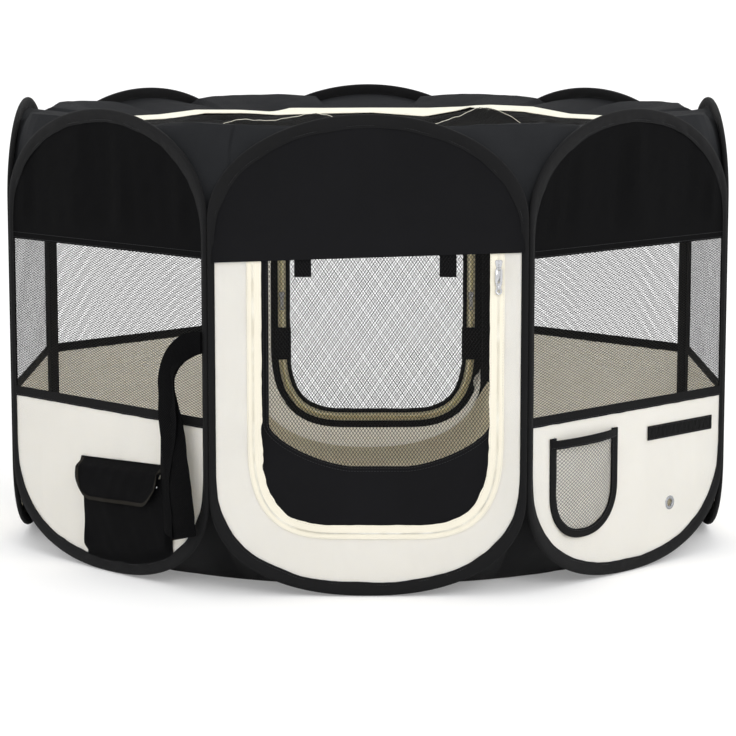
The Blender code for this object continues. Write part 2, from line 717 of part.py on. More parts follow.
def make_roof(fixed, lid):
    """The gusset from the hoops' tops to the roof opening, the zip band and the slack mesh."""
    top, _ = hoop_offset(-GUSSET_SEAM_INSET)
    outer = gusset_seam(top, ROOF_CLOTH, ROOF_CORNER_HEIGHT)
    inner = [octagon_point(point, ROOF_OPENING_APOTHEM, ROOF_OPENING_HEIGHT) for point in outer]
    gusset = sheet_from_rows("roof_gusset", [outer, inner], closed=True)
    thicken(add_piece("roof_gusset", gusset, "roof_black", None, fixed), ROOF_CLOTH)
    band_outer = ROOF_OPENING_APOTHEM - ROOF_BAND_GAP
    band_inner = band_outer - ROOF_BAND_WIDTH
    corners = [corner_position(panel, 0) for panel in PANEL_NAMES]
    band_height = ROOF_OPENING_HEIGHT - ROOF_BAND_DROP
    rows = [[octagon_point(corner, band_outer, ROOF_OPENING_HEIGHT) for corner in corners],
            [octagon_point(corner, band_inner, band_height) for corner in corners]]
    band = sheet_from_rows("roof_zip_band", rows, closed=True)
    thicken(add_piece("roof_zip_band", band, "zip_tape_cream", None, fixed), ROOF_CLOTH)
    make_roof_mesh(lid, band_inner - ROOF_MESH_GAP, band_height)


def make_roof_mesh(lid, apothem, edge_height):
    """The roof's net, cut to an octagon and hanging slack in the middle."""
    lines = even_lines(-1, 1, ROOF_MESH_HEM / apothem, ROOF_MESH_HEM / apothem, ROOF_MESH_LINES)

    def place(u, v):
        y = v * apothem
        half_width = min(apothem, math.sqrt(2) * apothem - abs(y))
        slack = 1 - max(abs(u), abs(v)) ** 2
        return (u * half_width, y, edge_height - ROOF_MESH_SAG * slack)

    net = grid_net("roof_mesh", lines, lines, place, NET_STRAND)
    thicken(add_piece("roof_mesh", net, "mesh_black", None, lid), CLOTH_THICKNESS)


def make_base(fixed):
    """The gusset from the hoops' bottoms to the floor, and the floor sheet on the ground."""
    _, bottom = hoop_offset(-GUSSET_SEAM_INSET)
    outer = gusset_seam(bottom, BASE_CLOTH, BASE_CORNER_HEIGHT)
    rim = [Vector((point.x, point.y, 0)).normalized() for point in outer]
    height = FLOOR_THICKNESS / 2 + CLEARANCE
    inner = [FLOOR_RADIUS * direction + Vector((0, 0, height)) for direction in rim]
    gusset = sheet_from_rows("base_gusset", [outer, inner], closed=True)
    thicken(add_piece("base_gusset", gusset, "floor_black", None, fixed), BASE_CLOTH)
    radius = FLOOR_RADIUS - CLEARANCE - BASE_CLOTH / 2
    bm = bmesh.new()
    face = bm.faces.new([bm.verts.new(radius * direction) for direction in rim])
    grown = bmesh.ops.extrude_face_region(bm, geom=[face])
    moved = [item for item in grown["geom"] if isinstance(item, bmesh.types.BMVert)]
    bmesh.ops.translate(bm, verts=moved, vec=(0, 0, FLOOR_THICKNESS))
    add_piece("floor_sheet", mesh_from(bm, "floor_sheet"), "floor_black", None, fixed)


# Pockets, strap and trim

def make_storage_pocket(fixed):
    """A cloth pocket, open at its top and against the panel, and the flap that covers it."""
    _, bottom = hoop_offset(-SLEEVE_ARC_WIDTH - CLEARANCE)
    rest = sorted(bottom)
    step = (POCKET_RIGHT - POCKET_LEFT) / (POCKET_BOTTOM_POINTS - 1)
    path = [(POCKET_LEFT, POCKET_TOP)]
    for index in range(POCKET_BOTTOM_POINTS):
        x = POCKET_LEFT + index * step
        path.append((x, height_on(rest, x)))
    path.append((POCKET_RIGHT, POCKET_TOP))
    bm = bmesh.new()
    near = [bm.verts.new((x, -CLOTH_FACE, z)) for x, z in path]
    far = [bm.verts.new((x, -CLOTH_FACE - POCKET_DEPTH, z)) for x, z in path]
    for index in range(len(path) - 1):
        bm.faces.new((near[index], near[index + 1], far[index + 1], far[index]))
    bm.faces.new(far)
    pocket = add_piece("pocket_body", mesh_from(bm, "pocket_body"), "cloth_black", "left_front", fixed)
    thicken(pocket, POCKET_WALL, offset=-1.0)
    matrix = panel_matrix("left_front")
    seam = -CLOTH_FACE - FLAP_THICKNESS / 2
    front = -CLOTH_FACE - POCKET_DEPTH - CLEARANCE - FLAP_THICKNESS / 2
    profile = ((seam, FLAP_TOP), (front, FLAP_TOP - FLAP_KNEE_DROP), (front, FLAP_TOP - FLAP_LENGTH))
    rows = [[(x, y, z) for y, z in profile] for x in (FLAP_LEFT, FLAP_RIGHT)]
    hinge = add_pivot("pocket_flap_hinge", matrix @ Vector((0, seam, FLAP_TOP)), fixed)
    flap = sheet_from_rows("pocket_flap", rows, closed=False)
    thicken(add_piece("pocket_flap", flap, "cloth_black", "left_front", hinge), FLAP_THICKNESS)


def strap_stations():
    """Centre line of the strap: reach, height, stand-off, width and the direction it runs."""
    stations = []
    for step in range(STRAP_BEND_STEPS + 1):
        share = step / STRAP_BEND_STEPS
        angle = share * math.pi / 2
        reach = STRAP_REACH * math.sin(angle)
        height = STRAP_SEAM_HEIGHT - STRAP_BEND_DROP * (1 - math.cos(angle))
        off = STRAP_SEAM_STAND_OFF + (STRAP_STAND_OFF - STRAP_SEAM_STAND_OFF) * share
        width = STRAP_SEAM_WIDTH + (STRAP_WIDTH - STRAP_SEAM_WIDTH) * share
        stations.append((reach, height, off, width, angle))
    top = STRAP_SEAM_HEIGHT - STRAP_BEND_DROP
    for step in range(1, STRAP_DROP_STEPS + 1):
        share = step / STRAP_DROP_STEPS
        reach = STRAP_REACH + (STRAP_END_REACH - STRAP_REACH) * share
        height = top + (STRAP_END_HEIGHT - top) * share
        width = STRAP_WIDTH + (STRAP_LOOP_WIDTH - STRAP_WIDTH) * share
        stations.append((reach, height, STRAP_STAND_OFF, width, math.pi / 2))
    return stations


def make_strap(fixed):
    """The doubled webbing loop, sewn in at the corner seam and hanging against the cloth."""
    seam_x = PANEL_PITCH / 2 - STRAP_SEAM_INSET
    rows = [[], []]
    for reach, height, off, width, angle in strap_stations():
        for row, side in zip(rows, (0.5, -0.5)):
            x = seam_x - reach - side * width * math.sin(angle)
            row.append((x, -off, height + side * width * math.cos(angle)))
    position = panel_matrix("left_front") @ Vector((seam_x, -STRAP_SEAM_STAND_OFF, 0))
    hinge = add_pivot("strap_hinge", position, fixed)
    strap = sheet_from_rows("webbing_strap", rows, closed=False)
    thicken(add_piece("webbing_strap", strap, "webbing_black", "left_front", hinge), STRAP_THICKNESS)


def make_bottle_pocket(fixed):
    """A U-shaped net pocket with a bound edge, open at its top and against the panel."""
    shape = UShape(BOTTLE_POCKET_CENTRE, BOTTLE_POCKET_HALF_WIDTH, BOTTLE_POCKET_TOP,
                   BOTTLE_POCKET_BOTTOM, BOTTLE_POCKET_HALF_WIDTH, BOTTLE_POCKET_CORNER,
                   BOTTLE_POCKET_POWER)
    lines = shape_lines(shape, BOTTLE_POCKET_BINDING, BOTTLE_POCKET_COLUMNS, BOTTLE_POCKET_ROWS)
    front = -CLOTH_FACE - BOTTLE_POCKET_DEPTH

    def place(across, up):
        x, z = shape.point(across, up)
        return (x, front, z)

    net = grid_net("bottle_pocket", *lines, place, NET_STRAND, walls_to=-CLOTH_FACE)
    pocket = add_piece("bottle_pocket", net, "mesh_black", "right_front", fixed)
    thicken(pocket, POCKET_WALL, offset=-1.0)


def make_strip_and_eyelet(fixed, lower_cloth):
    """The hook-and-loop strip, and the metal eyelet through the cream cloth."""
    outline = [(STRIP_LEFT, STRIP_BOTTOM), (STRIP_RIGHT, STRIP_BOTTOM),
               (STRIP_RIGHT, STRIP_TOP), (STRIP_LEFT, STRIP_TOP)]
    strip = prism("hook_and_loop_strip", outline, -CLOTH_FACE - STRIP_THICKNESS, -CLOTH_FACE)
    add_piece("hook_and_loop_strip", strip, "webbing_black", "right_front", fixed)
    barrel = EYELET_HOLE_RADIUS + EYELET_BARREL_WALL
    outer = CLOTH_FACE + EYELET_FLANGE_THICKNESS
    profile = [(EYELET_HOLE_RADIUS, -outer), (EYELET_FLANGE_RADIUS, -outer),
               (EYELET_FLANGE_RADIUS, -CLOTH_FACE), (barrel, -CLOTH_FACE),
               (barrel, CLOTH_FACE), (EYELET_FLANGE_RADIUS, CLOTH_FACE),
               (EYELET_FLANGE_RADIUS, outer), (EYELET_HOLE_RADIUS, outer)]
    rows = []
    for step in range(EYELET_STEPS + 1):
        angle = 2 * math.pi * (step % EYELET_STEPS) / EYELET_STEPS
        rows.append([(EYELET_X + radius * math.cos(angle), y, EYELET_Z + radius * math.sin(angle))
                     for radius, y in profile])
    ring = sheet_from_rows("eyelet", rows, closed=True)
    weld_doubles(ring)
    add_piece("eyelet", ring, "zip_metal", "right_front", fixed)
    cut_eyelet_hole(lower_cloth, barrel + CLEARANCE)


def weld_doubles(mesh):
    """Joins the first and last rows of a turned profile and points its faces out."""
    bm = bmesh.new()
    bm.from_mesh(mesh)
    bmesh.ops.remove_doubles(bm, verts=bm.verts, dist=CLEARANCE / 10)
    bmesh.ops.recalc_face_normals(bm, faces=bm.faces)
    bm.to_mesh(mesh)
    bm.free()


def cut_eyelet_hole(lower_cloth, radius):
    """Cuts the eyelet's hole through the cream cloth with a hidden cylinder."""
    outline = []
    for step in range(EYELET_STEPS):
        angle = 2 * math.pi * step / EYELET_STEPS
        outline.append((EYELET_X + radius * math.cos(angle), EYELET_Z + radius * math.sin(angle)))
    mesh = prism("eyelet_cutter", outline, -CLOTH_THICKNESS, CLOTH_THICKNESS)
    cutter = bpy.data.objects.new("eyelet_cutter", mesh)
    bpy.context.collection.objects.link(cutter)
    cutter.parent = lower_cloth
    cutter.hide_render = True
    cutter.display_type = "WIRE"
    hole = lower_cloth.modifiers.new("Eyelet hole", "BOOLEAN")
    hole.operation = "DIFFERENCE"
    hole.object = cutter


def make_pivots():
    """One pivot for each panel, in two chains that start at the front panel."""
    front = add_pivot("front_panel", Vector((0, 0, 0)))
    pivots = {"front": front}
    right_chain = PANEL_NAMES[:PANEL_COUNT // 2 + 1]
    left_chain = (PANEL_NAMES[0],) + tuple(reversed(PANEL_NAMES[PANEL_COUNT // 2 + 1:]))
    for chain, corner_owner in ((right_chain, 0), (left_chain, 1)):
        for pair in zip(chain, chain[1:]):
            carrier, panel = pair
            inset = FOLD_AXIS_INSET if pair[0] in DOUBLING_CORNERS and corner_owner == 0 else 0.0
            if corner_owner == 1 and panel in DOUBLING_CORNERS:
                inset = FOLD_AXIS_INSET
            position = corner_position(pair[corner_owner], inset)
            pivots[panel] = add_pivot(panel + "_hinge", position, pivots[carrier])
    return pivots


def build():
    """Builds every piece of the playpen."""
    pivots = make_pivots()
    meshes = {
        "sleeve": sweep_round_hoop("sleeve", sleeve_section),
        "wire": sweep_round_hoop("hoop_wire", wire_section),
        "upper": cloth_prism("upper_cloth", upper_cloth_outline()),
        "window": window_net_mesh(),
        "lower": cloth_prism("lower_cloth", lower_cloth_outline()),
    }
    make_front_door(pivots, meshes)
    make_back_door(pivots, meshes)
    for panel in PLAIN_PANELS:
        lower_cloth = make_plain_panel(panel, pivots[panel], meshes)
        if panel == "right_front":
            make_strip_and_eyelet(pivots[panel], lower_cloth)
    lid = add_pivot("roof_mesh_lift", Vector((0, 0, ROOF_OPENING_HEIGHT)), pivots["front"])
    make_roof(pivots["front"], lid)
    make_base(pivots["front"])
    make_storage_pocket(pivots["left_front"])
    make_strap(pivots["left_front"])
    make_bottle_pocket(pivots["right_front"])


clear_scene()
materials = make_materials()
pivot_positions = {}
build()
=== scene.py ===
# %% [markdown]
# # A foldable dog playpen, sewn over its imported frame
# The pen is eight pop-up panels. Each one is a closed hoop of spring wire in a black sleeve, with
# cloth and net stretched inside it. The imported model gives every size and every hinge. This lesson
# sews the cloth that you see over it, one kind of piece at a time.

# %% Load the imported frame
import math

import bpy
import numpy as np
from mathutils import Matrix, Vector


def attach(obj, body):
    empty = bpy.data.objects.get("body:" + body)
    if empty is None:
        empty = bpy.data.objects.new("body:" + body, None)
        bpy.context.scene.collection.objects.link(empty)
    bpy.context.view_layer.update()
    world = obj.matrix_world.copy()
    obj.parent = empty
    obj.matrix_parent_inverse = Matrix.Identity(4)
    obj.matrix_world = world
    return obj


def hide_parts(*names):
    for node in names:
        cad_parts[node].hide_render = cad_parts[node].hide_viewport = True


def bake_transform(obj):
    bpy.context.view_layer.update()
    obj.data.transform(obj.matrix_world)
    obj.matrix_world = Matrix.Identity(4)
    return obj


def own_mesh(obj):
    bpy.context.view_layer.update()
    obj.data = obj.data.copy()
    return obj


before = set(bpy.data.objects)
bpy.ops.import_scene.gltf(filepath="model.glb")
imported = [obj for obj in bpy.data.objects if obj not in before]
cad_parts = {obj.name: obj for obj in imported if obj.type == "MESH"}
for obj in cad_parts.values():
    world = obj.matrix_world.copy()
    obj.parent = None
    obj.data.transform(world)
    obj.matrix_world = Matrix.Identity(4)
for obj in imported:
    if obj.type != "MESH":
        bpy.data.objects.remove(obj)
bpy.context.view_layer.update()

# %% [markdown]
# ## Sizes of the pen
# The same sizes as in the model's source, in metres. Each panel is drawn standing in front of us,
# with X along it, Y from its outside inwards and Z up. Then it is turned into its place.

# %% Sizes
PANELS = ("front", "right_front", "right", "right_back",
          "back", "left_back", "left", "left_front")
PLAIN_PANELS = tuple(panel for panel in PANELS if panel not in ("front", "back"))
PITCH = 0.382
HEIGHT = 0.580
TOP_RISE, TOP_POWER = 0.125, 2.0
BOTTOM_RISE, BOTTOM_POWER = 0.123, 2.25
BEAD = 0.003
WIRE_HALF_WIDTH = 0.187536
CLOTH = 0.0008
CLOTH_INSET = 0.0025
CLOTH_HALF_WIDTH = WIRE_HALF_WIDTH - CLOTH_INSET
UPPER_EDGE = 0.408
LOWER_EDGE = 0.204
BINDING = 0.011
APOTHEM = PITCH / 2 / math.tan(math.pi / 8)
CORNER_RADIUS = PITCH / 2 / math.sin(math.pi / 8)
print("ring apothem %.4f m, corner radius %.4f m" % (APOTHEM, CORNER_RADIUS))


def to_world(points, panel):
    """Turns a panel's own points by 45 degrees times its place in the ring, after moving them
    out from the centre by the apothem."""
    turn = PANELS.index(panel) * math.pi / 4
    x, y, z = np.moveaxis(np.asarray(points, float), -1, 0)
    y = y - APOTHEM
    return np.stack([x * math.cos(turn) - y * math.sin(turn),
                     x * math.sin(turn) + y * math.cos(turn), z], -1)


def to_world_vector(vectors, panel):
    """The same turn for directions, which don't move."""
    return to_world(vectors, panel) - to_world(np.zeros(3), panel)


def body_of_panel(panel):
    return panel + "_panel"


# %% [markdown]
# ## Camera
# The photograph was taken with a long lens from a little above the pen, straight at its front
# panel. The lens and height here are worked out from where the near and far hoops sit in it.

# %% Camera
IMAGE_WIDTH = 736
FOCAL_PIXELS = 2600
CAMERA_DISTANCE = 3.067
CAMERA_HEIGHT = 0.731
CAMERA_PITCH = 8.4

camera_data = bpy.data.cameras.new("photo_camera")
camera_data.sensor_width = 36
camera_data.lens = camera_data.sensor_width * FOCAL_PIXELS / IMAGE_WIDTH
camera = bpy.data.objects.new("photo_camera", camera_data)
camera.location = (0, -APOTHEM - CAMERA_DISTANCE, CAMERA_HEIGHT)
camera.rotation_euler = (math.radians(90 - CAMERA_PITCH), 0, 0)
bpy.context.scene.collection.objects.link(camera)
bpy.context.scene.camera = camera
print("lens %.1f mm" % camera_data.lens)

# %% [markdown]
# ## Finishes
# Cloth is a plain weave: threads go over and under each other like a chessboard, so its height is
# the product of two sine waves along the piece's own UV map, which is in metres. Slow noise gives
# the slight unevenness that dyed polyester has, and sheen gives the soft light edge.


# %% Helpers for node materials
def linear(channel):
    """One sRGB channel from 0 to 255 as the linear value a shader takes."""
    value = channel / 255
    return value / 12.92 if value <= 0.04045 else ((value + 0.055) / 1.055) ** 2.4


def colour(red, green, blue, lift=1.0):
    """An sRGB colour as a linear one, made lighter or darker by lift."""
    return [min(1.0, linear(c) * lift) for c in (red, green, blue)] + [1.0]


def add_node(tree, kind, inputs=(), **settings):
    """A node of that kind; inputs are values or other nodes' sockets, in order or by name."""
    node = tree.nodes.new(kind)
    for key, value in settings.items():
        setattr(node, key, value)
    for key, value in inputs.items() if isinstance(inputs, dict) else enumerate(inputs):
        if isinstance(value, bpy.types.NodeSocket):
            tree.links.new(value, node.inputs[key])
        else:
            node.inputs[key].default_value = value
    return node


class Nodes:
    """A material's node tree: each call adds a node and joins it up."""

    def __init__(self, name):
        self.material = bpy.data.materials.new(name)
        self.material.use_nodes = True
        self.tree = self.material.node_tree
        self.shader = self.tree.nodes["Principled BSDF"]
        self.coordinates = self.tree.nodes.new("ShaderNodeTexCoord")

    def add(self, kind, inputs=(), **settings):
        return add_node(self.tree, kind, inputs, **settings)

    def maths(self, operation, *inputs):
        return self.add("ShaderNodeMath", inputs, operation=operation).outputs[0]

    def noise(self, source, scale, detail=2.0):
        inputs = {"Vector": source, "Scale": scale, "Detail": detail}
        return self.add("ShaderNodeTexNoise", inputs).outputs["Fac"]

    def ramp(self, value, low, high, dark, light):
        """Two colours, mixed by where value lies between low and high."""
        node = self.add("ShaderNodeValToRGB", [value])
        first, last = node.color_ramp.elements
        first.position, first.color = low, dark
        last.position, last.color = high, light
        return node.outputs["Color"]

    def spread(self, value, low, high):
        """Value from 0..1 moved to low..high."""
        node = self.add("ShaderNodeMapRange", {"Value": value, "To Min": low, "To Max": high})
        return node.outputs["Result"]

    def join(self, name, socket):
        self.tree.links.new(socket, self.shader.inputs[name])

    def bump(self, height, distance):
        node = self.add("ShaderNodeBump", {"Distance": distance, "Height": height})
        self.join("Normal", node.outputs["Normal"])

    def set(self, **values):
        """Sets the shader's own sockets, which is what an export keeps."""
        for key, value in values.items():
            self.shader.inputs[key.replace("_", " ")].default_value = value


# %% Woven cloth
def weave_height(nodes, thread):
    """Height of a plain weave: sin(pi u / thread) times sin(pi v / thread)."""
    scaled = nodes.add("ShaderNodeVectorMath", {"Vector": nodes.coordinates.outputs["UV"],
                                                "Scale": math.pi / thread}, operation="SCALE")
    parts = nodes.add("ShaderNodeSeparateXYZ", [scaled.outputs[0]])
    across = nodes.maths("SINE", parts.outputs[0])
    along = nodes.maths("SINE", parts.outputs[1])
    return nodes.maths("MULTIPLY", across, along)


def woven(name, rgb, thread=0.0006, relief=0.00012, roughness=(0.62, 0.8), sheen=0.35,
          variation=0.12, specular=0.35):
    """Plain-weave polyester: cloudy colour, painted shade between the threads, and a soft sheen."""
    nodes = Nodes(name)
    cloud = nodes.noise(nodes.coordinates.outputs["Object"], 14.0, 4.0)
    tone = nodes.ramp(cloud, 0.3, 0.7, colour(*rgb, 1 - variation), colour(*rgb, 1 + variation))
    weave = weave_height(nodes, thread)
    # Painted shade and highlight: the colour is darkened to 0.82 where the weave is low, between the
    # threads, and lifted to 1.06 on their tops.
    thread_gap_shade = nodes.spread(nodes.maths("ABSOLUTE", weave), 0.82, 1.06)
    mixed = nodes.add("ShaderNodeVectorMath", {"Vector": tone, "Scale": thread_gap_shade}, operation="SCALE")
    nodes.join("Base Color", mixed.outputs[0])
    nodes.join("Roughness", nodes.spread(cloud, *roughness))
    crumple = nodes.noise(nodes.coordinates.outputs["Object"], 160.0, 3.0)
    height = nodes.maths("MULTIPLY_ADD", crumple, 0.8, weave)
    nodes.bump(height, relief)
    nodes.set(Sheen_Weight=sheen, Sheen_Roughness=0.45, Specular_IOR_Level=specular)
    return nodes.material


# %% The pen's cloths
TAPE = dict(thread=0.0009, relief=0.00014)
BINDING_WEAVE = dict(thread=0.0008, relief=0.00018, sheen=0.02, specular=0.1)
CLOTHS = {
    "sleeve_black": ((23, 23, 24), dict(relief=0.00014, sheen=0.03, specular=0.12)),
    "cloth_black": ((20, 20, 22), dict(sheen=0.02, specular=0.08)),
    # Painted shade: the same cloth as cloth_black, made darker for every panel but the front and for
    # the pocket, so that they look less lit than the front.
    "cloth_black_painted_shade": ((14, 14, 15), dict(sheen=0.0, specular=0.04)),
    "cloth_cream": ((247, 241, 227), dict(variation=0.02, sheen=0.03, relief=0.00008,
                                          specular=0.2)),
    # Painted light: the lining is coloured lighter, close to white, to make up for the shade that
    # falls on it inside the walls, so that the floor matches the walls' tone.
    "lining_painted_light": ((255, 243, 217), dict(variation=0.04, sheen=0.02, relief=0.00008,
                                           specular=0.1)),
    "roof_black": ((40, 41, 43), dict(sheen=0.0, specular=0.04)),
    "floor_black": ((24, 24, 25), dict(roughness=(0.5, 0.65), sheen=0.03, specular=0.15)),
    "zip_tape_cream": ((255, 250, 232), dict(TAPE, variation=0.02, sheen=0.03, specular=0.2)),
    "zip_tape_front": ((246, 240, 222), dict(TAPE, variation=0.02, sheen=0.03, specular=0.2)),
    # Painted light: the back zip's tape is the cream tape coloured warm yellow for the light that
    # shines through it from outside. Its subsurface weight, set below, lets some real light through
    # as well.
    "zip_tape_painted_backlight": ((255, 238, 188), dict(TAPE, variation=0.03, sheen=0.0, specular=0.1)),
    "webbing_black": ((5, 5, 6), dict(thread=0.0016, relief=0.0003, sheen=0.0, specular=0.05)),
    "binding_black": ((17, 17, 18), BINDING_WEAVE),
    "binding_olive": ((33, 30, 24), BINDING_WEAVE),
    "pile_black": ((12, 12, 12), dict(thread=0.0011, relief=0.0004, roughness=(0.85, 0.95),
                                      sheen=0.05, specular=0.05)),
}
FINISHES = {name: woven(name, rgb, **settings) for name, (rgb, settings) in CLOTHS.items()}
for name, weight in (("cloth_cream", 0.5), ("zip_tape_cream", 0.1), ("zip_tape_painted_backlight", 0.6)):
    shader = FINISHES[name].node_tree.nodes["Principled BSDF"]
    shader.inputs["Subsurface Weight"].default_value = weight
    shader.inputs["Subsurface Scale"].default_value = 0.008
    shader.inputs["Subsurface Radius"].default_value = (1.0, 0.90, 0.72)


# %% [markdown]
# Thread, net yarn and metal are smoother. The net is knitted from fine shiny yarn, so it has a
# twist along its length and a clearer highlight than the cloth.

# %% Yarn and metal
TWIST = 0.0007


def yarn(name, rgb, roughness=0.5, specular=0.5):
    """Twisted thread: diagonal ridges from the sine of 2 pi (u + v) / twist."""
    nodes = Nodes(name)
    parts = nodes.add("ShaderNodeSeparateXYZ", [nodes.coordinates.outputs["UV"]])
    slant = nodes.maths("ADD", parts.outputs[0], parts.outputs[1])
    ridges = nodes.maths("SINE", nodes.maths("MULTIPLY", slant, 2 * math.pi / TWIST))
    cloud = nodes.noise(nodes.coordinates.outputs["Object"], 40.0)
    nodes.join("Base Color", nodes.ramp(cloud, 0.35, 0.65, colour(*rgb, 0.8), colour(*rgb, 1.2)))
    nodes.join("Roughness", nodes.spread(cloud, roughness - 0.06, roughness + 0.08))
    nodes.bump(ridges, 0.00006)
    nodes.set(Specular_IOR_Level=specular)
    return nodes.material


def metal(name, rgb, roughness):
    """Plated metal with faint rubbed patches."""
    nodes = Nodes(name)
    cloud = nodes.noise(nodes.coordinates.outputs["Object"], 300.0, 3.0)
    nodes.join("Base Color", nodes.ramp(cloud, 0.3, 0.7, colour(*rgb, 0.85), colour(*rgb, 1.0)))
    nodes.join("Roughness", nodes.spread(cloud, roughness - 0.08, roughness + 0.12))
    nodes.bump(cloud, 0.00005)
    nodes.set(Metallic=1.0)
    return nodes.material


# The back zip's coil is the cream coil coloured warm: painted light standing for light shining
# through it.
for name, *settings in (("mesh_black", (15, 15, 16), 0.5, 0.2), ("thread_black", (30, 30, 32)),
                        ("thread_cream", (222, 218, 208), 0.6, 0.3),
                        ("zip_coil_cream", (248, 244, 232), 0.4),
                        ("zip_coil_warm", (252, 232, 182), 0.6, 0.2)):
    FINISHES[name] = yarn(name, *settings)
for name, *settings in (("zip_metal", (214, 215, 218), 0.22),
                        ("eyelet_metal", (176, 178, 182), 0.2),
                        ("spring_steel", (150, 152, 155), 0.35)):
    FINISHES[name] = metal(name, *settings)
print("finishes:", len(FINISHES))

# %% [markdown]
# ## From arrays to pieces
# Every piece is a grid of points worked out as whole arrays. These helpers turn a grid into a
# mesh. A piece of cloth gets a front, a back and a rim, so it is a closed thin solid.


# %% Meshes from arrays
def make_piece(name, points, faces, finish, uv=None, sharp=40):
    """A mesh object. faces is a list of index arrays, one array for each number of corners.
    A closed mesh has a signed volume, the sum of its faces' tetrahedra, and where that is
    negative its faces are turned round to point outwards."""
    points = np.asarray(points, float).reshape(-1, 3)
    volume = 0.0
    for group in faces:
        a = points[group[:, 0]]
        for k in range(1, group.shape[1] - 1):
            b, c = points[group[:, k]], points[group[:, k + 1]]
            volume += np.einsum("ij,ij->", a, np.cross(b, c))
    if volume < 0:
        faces = [group[:, ::-1] for group in faces]
    corners = np.concatenate([group.ravel() for group in faces]).astype(np.int32)
    sizes = np.concatenate([np.full(len(group), group.shape[1]) for group in faces])
    starts = np.concatenate([[0], np.cumsum(sizes)[:-1]]).astype(np.int32)
    mesh = bpy.data.meshes.new(name)
    mesh.vertices.add(len(points))
    mesh.vertices.foreach_set("co", points.astype(np.float32).ravel())
    mesh.loops.add(len(corners))
    mesh.polygons.add(len(sizes))
    mesh.polygons.foreach_set("loop_start", starts)
    mesh.polygons.foreach_set("vertices", corners)
    mesh.update(calc_edges=True)
    if uv is not None:
        layer = mesh.uv_layers.new(name="UVMap")
        layer.data.foreach_set("uv", np.asarray(uv, np.float32).reshape(-1, 2)[corners].ravel())
    mesh.shade_smooth()
    mesh.set_sharp_from_angle(angle=math.radians(sharp))
    mesh.materials.append(FINISHES[finish])
    piece = bpy.data.objects.new(name, mesh)
    bpy.context.scene.collection.objects.link(piece)
    return piece


def quads(rows, columns, wrap_rows=False, wrap_columns=False):
    """Corner numbers of a grid's squares, row by row; a wrapped grid also joins its ends."""
    i, j = np.meshgrid(np.arange(rows if wrap_rows else rows - 1),
                       np.arange(columns if wrap_columns else columns - 1), indexing="ij")
    below, after = (i + 1) % rows, (j + 1) % columns
    return np.stack([i * columns + j, i * columns + after, below * columns + after,
                     below * columns + j], -1).reshape(-1, 4)


def run_lengths(points, axis):
    """Distance walked along one axis of a grid of points, averaged over the other."""
    steps = np.linalg.norm(np.diff(points, axis=axis), axis=-1).mean(1 - axis)
    return np.concatenate([[0], np.cumsum(steps)])


def grid_normals(grid, wrap):
    """Unit normals of a grid: across times up, each taken between a point's neighbours."""
    if wrap:
        across = np.roll(grid, -1, 1) - np.roll(grid, 1, 1)
    else:
        across = np.gradient(grid, axis=1)
    normal = np.cross(across, np.gradient(grid, axis=0))
    return normal / np.maximum(np.linalg.norm(normal, axis=-1, keepdims=True), 1e-12)


def square_row(*corners):
    """Squares between four rows of corner numbers."""
    return np.stack(corners, 1)


def cloth_piece(name, grid, finish, thickness=CLOTH, wrap=False):
    """Cloth on a grid of points in its middle: the grid moved half a thickness to each side
    along its normals, joined round the rim. Its UV map is the walked distance in metres."""
    rows, columns = grid.shape[:2]
    half = grid_normals(grid, wrap) * thickness / 2
    count = rows * columns
    front = quads(rows, columns, wrap_columns=wrap)
    edge = np.arange(columns if wrap else columns - 1)
    after = (edge + 1) % columns
    last = (rows - 1) * columns
    faces = [front, (front + count)[:, ::-1], square_row(edge, edge + count, after + count, after),
             square_row(last + edge, last + after, last + after + count, last + edge + count)]
    if not wrap:
        side = np.arange(rows - 1) * columns
        faces.append(square_row(side, side + columns, side + columns + count, side + count))
        side = side + columns - 1
        faces.append(square_row(side, side + count, side + columns + count, side + columns))
    u, v = np.meshgrid(run_lengths(grid, 1), run_lengths(grid, 0))
    uv = np.stack([u, v], -1).reshape(-1, 2)
    points = np.concatenate([(grid + half).reshape(-1, 3), (grid - half).reshape(-1, 3)])
    return make_piece(name, points, [np.concatenate(faces)], finish, np.concatenate([uv, uv]))


def shell_tube(name, grid, finish, closed=False):
    """A folded tape: each row of the grid is its closed section, whose first half is the outer
    layer and whose second half the inner one, run back. Open ends are closed with squares."""
    stations, around = grid.shape[:2]
    faces = [quads(stations, around, wrap_rows=closed, wrap_columns=True)]
    if not closed:
        k = np.arange(around // 2 - 1)
        cap = np.stack([k, k + 1, around - 2 - k, around - 1 - k], 1)
        faces += [cap, (cap + (stations - 1) * around)[:, ::-1]]
    u, v = np.meshgrid(run_lengths(grid, 1), run_lengths(grid, 0))
    return make_piece(name, grid, [np.concatenate(faces)], finish, np.stack([v, u], -1), 50)


# %% [markdown]
# Lines carry everything else: a hoop's wire, a zip, a row of stitches. A line is resampled to even
# steps, and its outward direction is its tangent turned by a right angle.

# %% Lines
def even_line(points, count, closed=False):
    """The line through points, resampled to count even steps by walked distance."""
    line = np.vstack([points, points[:1]]) if closed else np.asarray(points, float)
    run = np.concatenate([[0], np.cumsum(np.linalg.norm(np.diff(line, axis=0), axis=1))])
    at = np.linspace(0, run[-1], count, endpoint=not closed)
    return np.stack([np.interp(at, run, line[:, k]) for k in range(line.shape[1])], 1)


def outward_of(line, closed=False):
    """For a line in X and Z run anticlockwise, the unit direction away from its inside."""
    if closed:
        tangent = np.roll(line, -1, 0) - np.roll(line, 1, 0)
    else:
        tangent = np.gradient(line, axis=0)
    tangent /= np.linalg.norm(tangent, axis=1, keepdims=True)
    return np.stack([tangent[:, 1], -tangent[:, 0]], 1)


def line_length(line):
    return float(np.linalg.norm(np.diff(line, axis=0), axis=1).sum())


